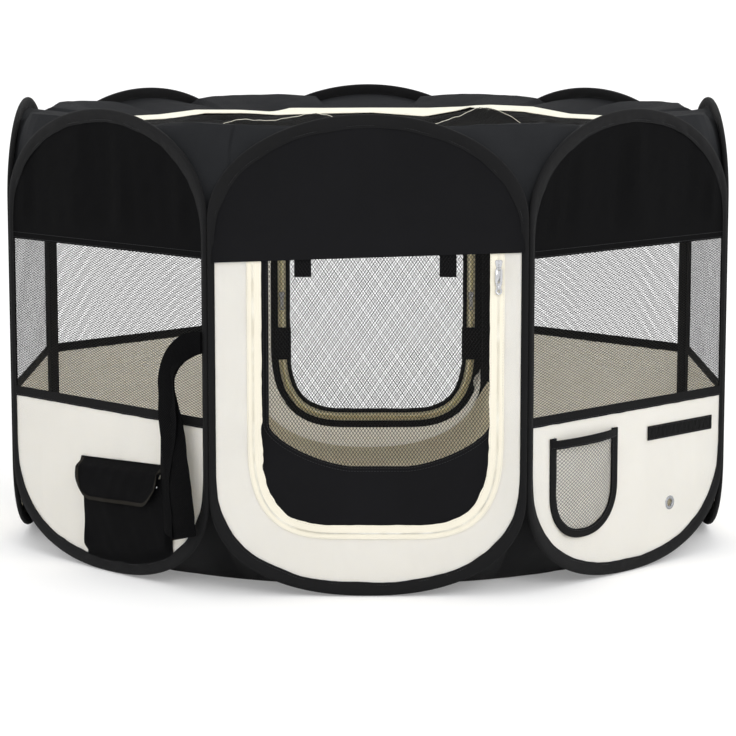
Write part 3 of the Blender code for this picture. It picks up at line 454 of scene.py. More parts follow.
def end_arc(half_width, start, rise, power, turn):
    """Half a superellipse at turn from 0, right, to pi, left: x is the half width times
    cos^(2/power), and z is the start plus rise times sin^(2/power)."""
    across = np.sign(np.cos(turn)) * np.abs(np.cos(turn)) ** (2 / power)
    return np.stack([half_width * across, start + rise * np.sin(turn) ** (2 / power)], -1)


def hoop_end(top, inset, turn):
    """A hoop's top or bottom end, moved in from the wire by inset."""
    half = WIRE_HALF_WIDTH - inset
    if top:
        return end_arc(half, HEIGHT - TOP_RISE, TOP_RISE - BEAD - inset, TOP_POWER, turn)
    return end_arc(half, BOTTOM_RISE, -(BOTTOM_RISE - BEAD - inset), BOTTOM_POWER, turn)


def hoop_line(count):
    """The whole closed hoop, anticlockwise from its right shoulder."""
    turn = np.linspace(0, math.pi, 400)
    line = np.vstack([hoop_end(True, 0.0, turn), hoop_end(False, 0.0, turn[::-1])])
    return even_line(line, count, closed=True)


def hoop_u(inset, top, count):
    """The hoop below a height: down its left side, round its bottom and up its right side."""
    turn = np.linspace(math.pi, 0, 300)
    low = hoop_end(False, inset, turn)
    half = WIRE_HALF_WIDTH - inset
    return even_line(np.vstack([[[-half, top]], low, [[half, top]]]), count)


def u_line(centre, half, top, bottom, corner_width, corner_height, power, count):
    """A door's or pocket's U: straight sides and bottom, joined by superelliptic corners."""
    turn = np.linspace(0, math.pi / 2, 80)
    x = -half + corner_width * (1 - np.cos(turn) ** (2 / power))
    z = bottom + corner_height * (1 - np.sin(turn) ** (2 / power))
    left = np.vstack([[[-half, top]], np.stack([x, z], 1)])
    line = np.vstack([left, left[::-1] * [-1, 1]])
    return even_line(line + [centre, 0], count)


def soft_step(value):
    """0 below 0, 1 above 1, and an S-curve between."""
    value = np.clip(value, 0, 1)
    return value * value * (3 - 2 * value)


def ripples(u, v, seed, longest=0.12, shortest=0.03, count=6, slant=0.0, spread=0.6):
    """Cloth's soft unevenness: a sum of seeded sine waves, shorter ones lower, from about
    -1 to 1. slant is the direction that most waves run in."""
    rng = np.random.default_rng(seed)
    lengths = np.geomspace(longest, shortest, count)
    angles = slant + rng.uniform(-spread, spread, count)
    phases = rng.uniform(0, 2 * math.pi, count)
    heights = (lengths / longest) ** 0.8
    u, v = np.asarray(u)[..., None], np.asarray(v)[..., None]
    waves = np.sin(2 * math.pi * (u * np.cos(angles) + v * np.sin(angles)) / lengths + phases)
    return (waves * heights).sum(-1) / heights.sum() * 1.6


# %% [markdown]
# Stitches and zip coils are the same small thing repeated: a short bar of thread, pointed at both
# ends and square in section. One function lays thousands of them along a line in a single mesh.

# %% Small bars of thread
def thread_bars(name, centres, along, up, length, width, height, finish):
    """Bars of ten points each: two end points and two squares between, all at once."""
    side = np.cross(along, up)
    shape = np.array([[-0.5, 0, 0], [-0.36, 0.5, 0], [-0.36, 0, 1], [-0.36, -0.5, 0],
                      [-0.36, 0, -0.4], [0.36, 0.5, 0], [0.36, 0, 1], [0.36, -0.5, 0],
                      [0.36, 0, -0.4], [0.5, 0, 0]]) * [length, width, height]
    points = (centres[:, None] + shape[None, :, :1] * along[:, None]
              + shape[None, :, 1:2] * side[:, None] + shape[None, :, 2:] * up[:, None])
    ends = np.array([[0, 1, 2], [0, 2, 3], [0, 3, 4], [0, 4, 1],
                     [9, 6, 5], [9, 7, 6], [9, 8, 7], [9, 5, 8]])
    walls = np.array([[1, 5, 6, 2], [2, 6, 7, 3], [3, 7, 8, 4], [4, 8, 5, 1]])
    first = (np.arange(len(centres)) * 10)[:, None, None]
    uv = np.tile(shape[None, :, :2], (len(centres), 1, 1))
    return make_piece(name, points, [(ends + first).reshape(-1, 3), (walls + first).reshape(-1, 4)],
                      finish, uv.reshape(-1, 2), 60)


def stitch_places(line, normals, pitch):
    """Even places along a line in space, with the direction of the line and of its surface."""
    count = max(2, int(line_length(line) / pitch))
    both = even_line(np.hstack([line, normals]), count)
    centres, up = both[:, :3], both[:, 3:]
    up = up / np.linalg.norm(up, axis=1, keepdims=True)
    along = np.gradient(centres, axis=0)
    along /= np.linalg.norm(along, axis=1, keepdims=True)
    return centres, along, up


# %% Rows of stitches
STITCH_PITCH = 0.0034
ON_CLOTH = 0.0007
STITCH_SIZE = (0.0027, 0.0006, 0.0003)


def stitches(name, lines, panel, body, finish="thread_black"):
    """Rows of stitches. lines is a list of (points in X and Z, height in Y, facing in Y)."""
    parts = []
    for line, y, facing in lines:
        flat = np.stack([line[:, 0], y + 0 * line[:, 0], line[:, 1]], 1)
        normals = np.tile([0.0, facing, 0.0], (len(line), 1))
        parts.append(stitch_places(flat, normals, STITCH_PITCH))
    centres, along, up = (np.concatenate(group) for group in zip(*parts))
    piece = thread_bars(name, to_world(centres, panel), to_world_vector(along, panel),
                        to_world_vector(up, panel), *STITCH_SIZE, finish)
    finish_piece(piece, body)


def finish_piece(piece, body, replaces=(),
                 folds=False):
    """Hangs the piece on its body and hides the model's parts that it replaces. A door's cloth runs
    on above the hinge, behind the hem that it is sewn to; a door's piece is not hung, its place is
    baked into its points. A piece that folds with the pen, which nothing rigid could follow, gets
    its own copy of its mesh."""
    if body.endswith("_door"):
        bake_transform(piece)
    else:
        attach(piece, body)
    if replaces:
        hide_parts(*replaces)
    if folds:
        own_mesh(piece)


# %% [markdown]
# ## Sleeves
# The sleeve is a tape folded over the wire and sewn to itself and to the cloth. It could be a
# plain tube, but the real one is a round bead with two flat legs, and it puckers on the curves
# where the tape has to gather. So a folded section is carried round the hoop, wider on the curves.

# %% A folded tape
def folded_section(width, edge_half, round_half, cloth, fold_steps=7, leg_steps=5):
    """Section of a tape folded over an edge, as distance out from the fold's middle and along Y:
    a straight leg, an arc of a circle from 110 to -110 degrees, and the other leg, first on the
    outside and then back along the inside. width may differ from station to station."""
    width = np.asarray(width, float)[:, None]
    turn = np.radians(np.linspace(110, -110, fold_steps))[None, :]
    share = np.linspace(0, 1, leg_steps, endpoint=False)[None, :]

    def layer(edge, radius):
        start_out, start_y = radius * math.cos(turn[0, 0]), radius * math.sin(turn[0, 0])
        leg_out = -width + (width + start_out) * share
        leg_y = np.broadcast_to(edge + (start_y - edge) * soft_step(share) ** 1.5, leg_out.shape)
        bead = np.broadcast_to(np.stack([radius * np.cos(turn), radius * np.sin(turn)], -1),
                               (len(width), fold_steps, 2))
        front = np.stack([leg_out, leg_y], -1)
        back = np.stack([leg_out[:, ::-1], -leg_y[:, ::-1]], -1)
        return np.concatenate([front, bead, back], 1)

    outer = layer(edge_half + cloth, round_half + cloth)
    inner = layer(edge_half, round_half)
    return np.concatenate([outer, inner[:, ::-1]], 1)


def carry(section, line, outward):
    """Puts a section, station by station, on a line in X and Z: x and z are the line's point
    plus the section's first value along outward, and y is the section's second value."""
    out, along = section[..., 0], section[..., 1]
    return np.stack([line[:, None, 0] + out * outward[:, None, 0], along,
                     line[:, None, 1] + out * outward[:, None, 1]], -1)


# %% Sleeves on the eight hoops
SLEEVE_STATIONS = 420
SLEEVE_ARC_WIDTH = 0.0135
SLEEVE_SIDE_WIDTH = 0.0055
BACK_SIDE_WIDTH = 0.0135
SLEEVE_CLOTH = 0.0006
SLEEVE_LEG = 0.0007
WIRE_ROOM = 0.0024
GATHER_ABOVE, GATHER_BELOW, GATHER_REACH = 0.43, 0.15, 0.06
EDGE_WAVE, PUCKER, PAD = 0.0009, 0.0011, 0.0007
SLEEVE_SEAM, SLEEVE_SEAM_STAND = 0.003, 0.00155


def sleeve_width(line, side_width):
    """Width of the sleeve inside the wire: narrow on the sides and wide on both ends."""
    z = line[:, 1]
    ends = soft_step((z - 0.430) / 0.070) + soft_step((0.150 - z) / 0.090)
    return side_width + (SLEEVE_ARC_WIDTH - side_width) * ends


def make_sleeve(panel, seed):
    line = hoop_line(SLEEVE_STATIONS)
    outward = outward_of(line, closed=True)
    run = np.arange(SLEEVE_STATIONS) * line_length(line) / (SLEEVE_STATIONS - 1)
    gather = sum(soft_step(away / GATHER_REACH) for away in
                 (line[:, 1] - GATHER_ABOVE, GATHER_BELOW - line[:, 1]))
    width = sleeve_width(line, SLEEVE_SIDE_WIDTH if "front" in panel else BACK_SIDE_WIDTH)
    turn = run / run[-1] * 2 * math.pi
    circle = np.stack([np.cos(turn), np.sin(turn)], 1)
    circle *= run[-1] / (2 * math.pi)
    edge_wave = ripples(circle[:, 0], circle[:, 1], seed, 0.09, 0.012, 8, spread=3)
    width = width + gather * EDGE_WAVE * edge_wave
    section = folded_section(width, SLEEVE_LEG, WIRE_ROOM, SLEEVE_CLOTH)
    inwards = np.clip(-section[..., 0] / width[:, None], 0, 1)
    pucker = ripples(circle[:, None, 0], circle[:, None, 1] + inwards * 0.02, seed + 50, 0.06,
                     0.007, 9, spread=3)
    lift = inwards * (1 - 0.8 * inwards ** 6) * (0.25 + gather[:, None]) * PUCKER * pucker
    pad = PAD * np.sin(math.pi * inwards) * gather[:, None]
    section[..., 1] += lift + pad * np.sign(section[..., 1])
    grid = to_world(carry(section, line, outward), panel)
    piece = shell_tube(panel + "_sleeve_cloth", grid, "sleeve_black", closed=True)
    finish_piece(piece, body_of_panel(panel), [panel + "_sleeve"])
    seam = line - outward * (width - SLEEVE_SEAM)[:, None]
    seam = np.vstack([seam, seam[:1]])
    stitches(panel + "_sleeve_stitches", [(seam, side * SLEEVE_SEAM_STAND, side)
                                          for side in (-1, 1)], panel, body_of_panel(panel))


for number, panel in enumerate(PANELS):
    make_sleeve(panel, 10 + number)
    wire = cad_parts[panel + "_hoop_wire"].data.materials
    wire.clear()
    wire.append(FINISHES["spring_steel"])
print("sleeves:", len(PANELS))

# %% [markdown]
# ## Upper and lower cloths
# The cloths are cut to the hoop's curve and sewn into its sleeve, so they are almost flat, with
# soft folds that run up from the seams. Columns of the grid run from a straight edge to the curve.

# %% Cloths cut to the hoop's ends
CLOTH_COLUMNS, CLOTH_ROWS = 61, 27
# The distances over which the cloth is held still by its sides, its curve and its straight edge.
SIDE_HOLD, CURVE_HOLD, HEM_HOLD = 0.035, 0.04, 0.03
HEM_WIDTH, LIP_HEIGHT = 0.010, 0.035


def end_cloth_grid(top, straight_left, straight_right, seed, fold, lip):
    """Columns at even turns round the hoop's end, each divided evenly between the straight edge
    and the curve. y is a sum of slow waves that dies out at the sewn edges, and the straight
    edge stands out by lip."""
    turn = np.linspace(math.pi, 0, CLOTH_COLUMNS)
    arc = hoop_end(top, CLOTH_INSET, turn)
    x, half = arc[:, 0], CLOTH_HALF_WIDTH
    straight = straight_left + (straight_right - straight_left) * (x / half + 1) / 2
    share = np.linspace(0, 1, CLOTH_ROWS)[:, None]
    low, high = (straight, arc[:, 1]) if top else (arc[:, 1], straight)
    z = low + (high - low) * share
    x = np.broadcast_to(x, z.shape)
    to_curve = np.abs(z - arc[:, 1])
    to_straight = np.abs(z - straight)
    hold = soft_step((half - np.abs(x)) / SIDE_HOLD) * soft_step(to_curve / CURVE_HOLD)
    hold = hold * soft_step((to_straight - HEM_WIDTH) / HEM_HOLD)
    wave = ripples(x, 0.35 * z, seed, 0.14, 0.03, 7, spread=0.5)
    fine = ripples(x, z, seed + 7, 0.03, 0.009, 6, spread=1.2)
    y = hold * fold * (wave + 0.12 * fine) - lip * soft_step(1 - to_straight / LIP_HEIGHT)
    return np.stack([x, y, z], -1)


def make_end_cloth(panel, top, finish, seed, left=None, right=None, fold=0.0020, lip=0.0):
    """A panel's upper or lower cloth."""
    edge, kind, slot = ((UPPER_EDGE, "_upper_cloth", "cloth_black") if top
                        else (LOWER_EDGE, "_lower_cloth", "cloth_cream"))
    grid = end_cloth_grid(top, left or edge, right or edge, seed, fold, lip)
    piece = cloth_piece(panel + kind + "_sewn", to_world(grid, panel), finish)
    finish_piece(piece, body_of_panel(panel), [panel + kind])


# %% Sew the cloths in
FRONT_EDGE_LEFT, FRONT_EDGE_RIGHT = 0.4045, 0.4165
FRONT_LIP = 0.0034
for number, panel in enumerate(PANELS):
    if panel == "front":
        make_end_cloth(panel, True, "cloth_black", 30, FRONT_EDGE_LEFT, FRONT_EDGE_RIGHT,
                       lip=FRONT_LIP)
    else:
        # The panels other than the front take the darker black cloth, whose colour holds painted
        # shade.
        make_end_cloth(panel, True, "cloth_black_painted_shade", 30 + number, fold=0.0034)
    if panel in PLAIN_PANELS:
        make_end_cloth(panel, False, "cloth_cream", 60 + number, fold=0.0016)
print("cloths:", 2 * len(PLAIN_PANELS) + 2)

# %% [markdown]
# ## Nets
# The windows are an open knitted net of diamonds. An image of a net would smear when you come
# close, and a grid of cubes would be far too heavy. Here each yarn is one long square bar along
# one of two diagonals. All bars are cut at once to the window's convex outline.

# %% Yarns across an outline
# Width and height of one diamond, then width and depth of the yarn.
DOOR_NET = (0.00405, 0.0058, 0.00050, 0.00072)
SIDE_NET = (0.0074, 0.0033, 0.00034, 0.00046)
ROOF_NET = (0.0041, 0.0047, 0.00052, 0.00068)
THIN_NET = (0.0074, 0.0033, 0.00034, 0.00020)
BOTTLE_NET = (0.0062, 0.0046, 0.00032, 0.00038)
NET_CLOTH, THIN_NET_CLOTH = 0.74, 0.40
YARN_STEPS = 6


def diagonals(outline, pitch, slope):
    """Where even diagonals of that slope enter and leave a convex outline run anticlockwise:
    each side of the outline cuts a line's range, and the range that is left is kept."""
    low, high = outline.min(0), outline.max(0)
    reach = (high[1] - low[1]) / abs(slope)
    starts = np.arange(low[0] - reach, high[0] + reach, pitch) + 0.5 * pitch
    middle = (low[1] + high[1]) / 2
    origin = np.stack([starts, np.full(len(starts), middle)], 1)
    step = np.array([1.0, slope]) / math.hypot(1.0, slope)
    side = np.roll(outline, -1, 0) - outline
    keep = np.linalg.norm(side, axis=1) > 1e-9
    side, corner = side[keep], outline[keep]
    inward = np.stack([-side[:, 1], side[:, 0]], 1)
    rate = inward @ step
    gap = ((origin[:, None] - corner[None]) * inward[None]).sum(-1)
    with np.errstate(divide="ignore", invalid="ignore"):
        at = -gap / rate[None]
    enter = np.where(rate[None] > 1e-12, at, -np.inf).max(1)
    leave = np.where(rate[None] < -1e-12, at, np.inf).min(1)
    inside = leave - enter > pitch / 2
    return origin[inside] + enter[inside, None] * step, origin[inside] + leave[inside, None] * step


def net_piece(name, outline, place, segments, diamond):
    """Two families of yarns. place turns X and Z into a point in space and the surface's normal,
    and diamond is the width and height of one mesh and then of the yarn's square section."""
    points, faces, uvs, first = [], [], [], 0
    pitch, rise, wide, deep = diamond
    for slope in (rise / pitch, -rise / pitch):
        start, end = diagonals(outline, pitch, slope)
        share = np.linspace(0, 1, segments + 1)[None, :, None]
        flat = start[:, None] + (end - start)[:, None] * share
        middle, normal = place(flat[..., 0], flat[..., 1])
        along = np.gradient(middle, axis=1)
        along /= np.linalg.norm(along, axis=-1, keepdims=True)
        side = np.cross(along, normal)
        ring = np.stack([middle + a * wide / 2 * side + b * deep / 2 * normal
                         for a, b in ((1, 1), (-1, 1), (-1, -1), (1, -1))], 2)
        yarns, stations = ring.shape[:2]
        base = quads(stations, 4, wrap_columns=True)
        caps = np.array([[0, 1, 2, 3], [3, 2, 1, 0]]) + [[0], [(stations - 1) * 4]]
        each = np.concatenate([base, caps[:, ::-1]])
        offsets = first + np.arange(yarns)[:, None, None] * stations * 4
        faces.append((each[None] + offsets).reshape(-1, 4))
        u = np.broadcast_to(np.linalg.norm(end - start, axis=1)[:, None, None] * share,
                            (yarns, stations, 4))
        v = np.broadcast_to(np.arange(4) * wide, (yarns, stations, 4))
        uvs.append(np.stack([u, v], -1).reshape(-1, 2))
        points.append(ring.reshape(-1, 3))
        first += yarns * stations * 4
    return make_piece(name, np.concatenate(points), [np.concatenate(faces)], "mesh_black",
                      np.concatenate(uvs), 80)


def on_panel(x, y, z, panel):
    """Points on a panel and its outward normal at each of them, for a net's place."""
    normal = to_world_vector(np.array([0.0, -1.0, 0.0]), panel)
    return to_world(np.stack([x, y, z], -1), panel), np.broadcast_to(normal, x.shape + (3,))


def panel_net(name, outline, panel, seed, diamond, slack):
    """A net in a panel's plane, with a slight slow slack."""
    low, high = outline.min(0), outline.max(0)

    def place(x, z):
        hold = np.clip(np.minimum(np.minimum(x - low[0], high[0] - x),
                                  np.minimum(z - low[1], high[1] - z)) / 0.04, 0, 1)
        sag = slack * soft_step(hold) * ripples(x, z, seed, 0.2, 0.05, 5, spread=1.5)
        return on_panel(x, sag, z, panel)

    return net_piece(name, outline, place, YARN_STEPS, diamond)


# %% Windows of the plain panels
WINDOW_TUCK = 0.004

half, low, high = CLOTH_HALF_WIDTH, LOWER_EDGE - WINDOW_TUCK / 2, UPPER_EDGE + WINDOW_TUCK
outline = np.array([[-half, low], [half, low], [half, high], [-half, high]])
for number, panel in enumerate(PLAIN_PANELS):
    diamond, yarn_share = ((THIN_NET, THIN_NET_CLOTH) if panel in ("left", "right")
                           else (SIDE_NET, NET_CLOTH))
    net = panel_net(panel + "_window_net", outline, panel, 80 + number, diamond, 0.0004)
    finish_piece(net, body_of_panel(panel), [panel + "_mesh_window"])
print("window nets:", len(PLAIN_PANELS), "faces in one:", len(net.data.polygons))

# %% [markdown]
# ## Bindings
# Where net meets cloth, a black tape is folded over the cut edge and sewn through. It is the same
# folded section as the sleeve's, only thinner, carried along a straight or curved edge.

# %% Bindings
BINDING_CLOTH, BINDING_GAP, BINDING_TURN = 0.0005, 0.0009, 0.004


def make_binding(name, line, width, panel, body, seed, y=0.0):
    """A folded tape whose fold runs along line, its legs pointing to the line's inside. The
    edge wavers a little, as a hand-fed tape does."""
    outward = outward_of(line)
    run = np.linspace(0, line_length(line), len(line))
    waver = 0.0003 * ripples(run, 0 * run, seed, 0.05, 0.015, 5)
    leg = BINDING_GAP * 0.75
    section = folded_section(width + waver, leg, BINDING_GAP, BINDING_CLOTH, 5, 3)
    section[..., 1] += np.reshape(y, (-1, 1))
    piece = shell_tube(name, to_world(carry(section, line, outward), panel), "binding_black")
    finish_piece(piece, body)
    seam = line - outward * (width - 0.0018)
    stitches(name + "_stitches", [(seam, y - leg - BINDING_CLOTH, -1),
                                  (seam, y + leg + BINDING_CLOTH, 1)], panel, body)


def straight(x0, z0, x1, z1, count=40):
    return even_line(np.array([[x0, z0], [x1, z1]]), count)


for number, panel in enumerate(PLAIN_PANELS):
    body, top = body_of_panel(panel), LOWER_EDGE + BINDING
    make_binding(panel + "_window_binding", straight(half, top, -half, top, 60), BINDING, panel,
                 body, 100 + number)
    hem, edge = (straight(-half, UPPER_EDGE + up, half, UPPER_EDGE + up) for up in (0.0085, 0.0018))
    stitches(panel + "_hem_stitches", [(hem, -ON_CLOTH, -1), (edge, -0.0006, -1),
                                       (hem, ON_CLOTH, 1)], panel, body)
print("bindings:", len(PLAIN_PANELS))

# %% [markdown]
# ## Zips
# A zip is two woven tapes with a nylon coil along the edge of each. The outer tape is sewn to the
# cream cloth and the inner one to the door, so each half rides on its own body.

# %% Door lines
# Each door's shift from the panel's middle, the height of its top and that of its bottom. The
# front one runs up behind the hem.
DOOR_HALF = 0.146
DOORS = {"front": (0.009, 0.4180, 0.077), "back": (-0.013, UPPER_EDGE, 0.066)}
DOOR_CORNER = (0.108, 0.125, 3.0)


def door_line(panel, grow=0.0, count=200):
    """The zip's line, moved out from the door by grow."""
    shift, top, bottom = DOORS[panel]
    line = u_line(shift, DOOR_HALF, top, bottom, *DOOR_CORNER, 600)
    return even_line(line + grow * outward_of(line), count)


def band_between(first, last, rows, y):
    """A grid between two lines of equal count, in the panel's X and Z; y may be an array of
    the rows' heights."""
    share = np.linspace(0, 1, rows)[:, None, None]
    flat = first + (last - first) * share
    height = np.broadcast_to(np.reshape(y, (-1, 1)), flat.shape[:2])
    return np.stack([flat[..., 0], height, flat[..., 1]], -1)


# How far the tape, its coils and its stitches stand off the panel's middle plane.
TAPE_STAND, COIL_STAND, SEAM_STAND = 0.0012, 0.0014, 0.00165
TAPE_ROWS, TAPE_RIDGE, TAPE_CLOTH = 13, 0.0003, 0.0006
COIL_PITCH, COIL_SIZE = 0.0013, (0.0026, 0.0009, 0.0009)


def make_zip_half(panel, inner, width, tape, coils, waver=0.0):
    """One tape with its ridges and its row of coils. inner is 1 for the door's half and -1 for
    the other. The front zip faces outwards along Y, and the back one inwards."""
    name = panel + ("_zip_inner" if inner == 1 else "_zip_outer")
    body = panel + ("_door" if inner == 1 else "_panel")
    side = -1 if panel == "front" else 1
    near, far = door_line(panel, -inner * 0.0001), door_line(panel, -inner * width)
    if waver:
        run = np.linspace(0, 1, len(far))
        corner = np.exp(-((run - 0.3) / 0.10) ** 2) + 0.5 * np.exp(-((run - 0.7) / 0.12) ** 2)
        wave = ripples(run, 0 * run, 5, 0.06, 0.012, 5)
        far = far + outward_of(far) * (waver * wave * (0.15 + corner))[:, None]
    ridge = TAPE_RIDGE * np.abs(np.sin(np.linspace(0, 4 * math.pi, TAPE_ROWS)))
    grid = band_between(near, far, TAPE_ROWS, side * (TAPE_STAND + ridge))
    tape_piece = cloth_piece(name + "_tape", to_world(grid, panel), tape, TAPE_CLOTH)
    finish_piece(tape_piece, body)
    line = door_line(panel, -inner * 0.0006, 400)
    flat = np.stack([line[:, 0], np.full(len(line), side * COIL_STAND), line[:, 1]], 1)
    centres, along, up = stitch_places(flat, np.tile([0.0, side, 0.0], (400, 1)), COIL_PITCH)
    along, up = to_world_vector(along, panel), to_world_vector(up, panel)
    coil = thread_bars(name + "_coil", to_world(centres, panel), np.cross(along, up), up,
                       *COIL_SIZE, coils)
    finish_piece(coil, body)
    seam = door_line(panel, -inner * (width - 0.0012))
    stitches(name + "_stitches", [(seam, side * SEAM_STAND, side)], panel, body, "thread_cream")


# %% Cream U and front zip
BAND_ROWS = 12


def waved_band(outer, inner, seed, height, longest):
    """Rows between two lines, with ripples of that height between them."""
    grid = band_between(outer, inner, BAND_ROWS, 0.0)
    share = np.linspace(0, 1, BAND_ROWS)[:, None]
    wave = ripples(grid[..., 0], grid[..., 2], seed, longest, 0.02, 6, spread=1.5)
    grid[..., 1] += height * np.sin(math.pi * share) * wave
    return grid


def make_surround(panel, seed):
    """The cloth between the hoop and the zip: even steps along both lines, joined across."""
    outer = hoop_u(CLOTH_INSET, DOORS[panel][1], 181)
    grid = waved_band(outer, door_line(panel, 0.0005, 181), seed, 0.0009, 0.09)
    piece = cloth_piece(panel + "_surround_sewn", to_world(grid, panel), "cloth_cream")
    finish_piece(piece, body_of_panel(panel), [panel + "_door_surround"])


make_surround("front", 120)
make_zip_half("front", -1, 0.0070, "zip_tape_front", "zip_coil_cream")
make_zip_half("front", 1, 0.0100, "zip_tape_front", "zip_coil_cream", waver=0.0012)

# %% [markdown]
# ## Front door
# The door is black cloth round a net window. It is a ring between two closed loops with the same
# number of points: the zip's line and the window's edge, each closed by a straight top.

# %% Front door
WINDOW_CENTRE, WINDOW_HALF = 0.0135, 0.132
WINDOW_TOP, WINDOW_BOTTOM = 0.4165, 0.159
WINDOW_CORNER = (0.100, 0.050, 1.5)


def closed_u(line, top_count):
    """A U line with its top closed by even points, right to left."""
    return np.vstack([line, even_line(np.array([line[-1], line[0]]), top_count + 2)[1:-1]])


def window_line(grow, count):
    line = u_line(WINDOW_CENTRE, WINDOW_HALF, WINDOW_TOP, WINDOW_BOTTOM, *WINDOW_CORNER, 600)
    return even_line(line + grow * outward_of(line), count)


outer = closed_u(door_line("front", -0.0008, 181), 60)
inner = closed_u(window_line(0.0, 181), 60)
door_grid = waved_band(outer, inner, 130, 0.0010, 0.08)
door = cloth_piece("front_door_sewn", to_world(door_grid, "front"), "cloth_black", wrap=True)
finish_piece(door, "front_door", ["front_door_cloth"])
door_net = panel_net("front_door_net", window_line(0.003, 160), "front", 140, DOOR_NET, 0.0003)
finish_piece(door_net, "front_door", ["front_door_mesh"])
stitches("front_window_stitches", [(window_line(out, 200), -ON_CLOTH, -1)
                                   for out in (0.0022, 0.006)], "front", "front_door")

# %% Back door
make_surround("back", 121)
INNER_BINDING, OUTER_BINDING = 0.0085, 0.0115
back_net = panel_net("back_door_net", door_line("back", -INNER_BINDING, 160), "back", 150,
                     DOOR_NET, 0.0003)
finish_piece(back_net, "back_door", ["back_door_mesh"])
make_binding("back_door_binding", door_line("back", -0.0040, 220), INNER_BINDING, "back",
             "back_door", 151)
make_binding("back_surround_binding", door_line("back", 0.0045 + OUTER_BINDING, 220),
             OUTER_BINDING, "back", "back_panel", 152)
# The back zip takes the warm tape and coil, whose colour is painted light shining through them.
for inner in (-1, 1):
    make_zip_half("back", inner, 0.0060, "zip_tape_painted_backlight", "zip_coil_warm")

# %% [markdown]
# ## Roof
# A black ring of cloth runs from the hoops' tops to an eight-sided opening. It hangs into a V
# between two hoops and is taut above it. A cream zip band goes round the opening, and a slack net
# cover closes it. The pen folds flat like a book, which a rigid roof can't follow.

# %% Seams round the pen
def seam_ring(top, inset, depth, margin, steps, corner_inset, apex, count):
    """A closed line in space along each hoop's end and into the corner after it. margin is the
    part of the half turn left out at both ends, and apex is the corner's height."""
    rows = []
    for number, panel in enumerate(PANELS):
        arc = hoop_end(top, inset, np.linspace(math.pi - margin, margin, steps))
        rows.append(to_world(np.stack([arc[:, 0], np.full(steps, depth), arc[:, 1]], 1), panel))
        angle = -math.pi / 2 + (number + 0.5) * math.pi / 4
        radius = CORNER_RADIUS - corner_inset
        rows.append([[radius * math.cos(angle), radius * math.sin(angle), apex]])
    return even_line(np.vstack(rows), count, closed=True)


# %% Roof ring
ROOF_APOTHEM, ROOF_HEIGHT, ROOF_APEX = 0.360, 0.553, 0.448
SEAM_INSET, SEAM_DEPTH, SEAM_CORNER = 0.0125, 0.0018, 0.0075
ROUND_CORNER = 0.015
STEEP_SHARE, CORNER_LIFT, ROOF_WAVE = 0.26, 0.019, 0.0012
BAND_DROP = 0.009
EDGE_X = (-0.300, -0.250, -0.190, -0.144, -0.129, -0.116, -0.068, 0.007, 0.090, 0.141, 0.161,
          0.181, 0.240, 0.291)
EDGE_DROP = (0.0085, 0.0040, 0.0070, 0.0115, 0.0092, 0.0060, 0.0062, 0.0058, 0.0060, 0.0040,
             0.0016, 0.0, 0.0, 0.0080)
BAND_FALL = (0.0045, 0.0036, 0.0034, 0.0032, 0.0050, 0.0080, 0.0066, 0.0056, 0.0110, 0.0042,
             0.0010, 0.0056, 0.0060, 0.0040)


def ring_point(direction, apothem):
    """Where a ray meets an octagon with softened corners: its radius is the apothem over the
    cosine of the angle from the side's middle, blended towards a circle near the corners."""
    angle = np.arctan2(direction[..., 1], direction[..., 0])
    from_middle = (angle + math.pi / 2 + math.pi / 8) % (math.pi / 4) - math.pi / 8
    sharp = 1 / np.cos(from_middle)
    limit = 1 / math.cos(math.pi / 8) - ROUND_CORNER
    radius = apothem * -np.log(np.exp(-60 * sharp) + np.exp(-60 * limit)) / 60
    return np.stack([radius * np.cos(angle), radius * np.sin(angle)], -1)


def far_side(y):
    """0 on the opening's front half and 1 on its far side."""
    return soft_step((y - 0.05) / 0.12)


def edge_drop(x, y):
    """How far the opening's edge hangs on the far side, where the ring is slack."""
    return far_side(y) * np.interp(x, EDGE_X, EDGE_DROP)


def band_fall(x, y):
    """How far the band slopes down inwards: even in front, uneven on the far side."""
    far = far_side(y)
    return BAND_DROP * (1 - far) + far * np.interp(x, EDGE_X, BAND_FALL)


edge = seam_ring(True, SEAM_INSET, SEAM_DEPTH, margin=0.32, steps=23, corner_inset=SEAM_CORNER,
                 apex=ROOF_APEX, count=400)
opening = np.concatenate([ring_point(edge[:, :2], ROOF_APOTHEM),
                          np.full((len(edge), 1), ROOF_HEIGHT)], 1)
share = np.linspace(0, 1, 18)[:, None, None]
roof_grid = edge + (opening - edge) * share
angle = np.arctan2(edge[:, 1], edge[:, 0])
at_corner = np.sqrt(0.5 - 0.5 * np.cos(8 * (angle + math.pi / 2)))
rise = soft_step(share[..., 0] / STEEP_SHARE) ** 0.7
target = ROOF_HEIGHT + CORNER_LIFT * (1 - share[..., 0]) * at_corner
roof_grid[..., 2] = np.where(edge[:, 2] < ROOF_HEIGHT,
                             edge[:, 2] + (target - edge[:, 2]) * rise, roof_grid[..., 2])
wave = ripples(roof_grid[..., 0], roof_grid[..., 1], 160, 0.12, 0.02, 7, spread=3)
roof_grid[..., 2] += ROOF_WAVE * np.sin(math.pi * share[..., 0]) * wave
roof_grid[..., 2] -= edge_drop(opening[:, 0], opening[:, 1]) * share[..., 0] ** 2
roof = cloth_piece("roof_ring_sewn", roof_grid, "roof_black", wrap=True)
finish_piece(roof, "front_panel", ["roof_gusset"],
             folds=True)
print("roof ring:", len(roof.data.polygons), "faces")

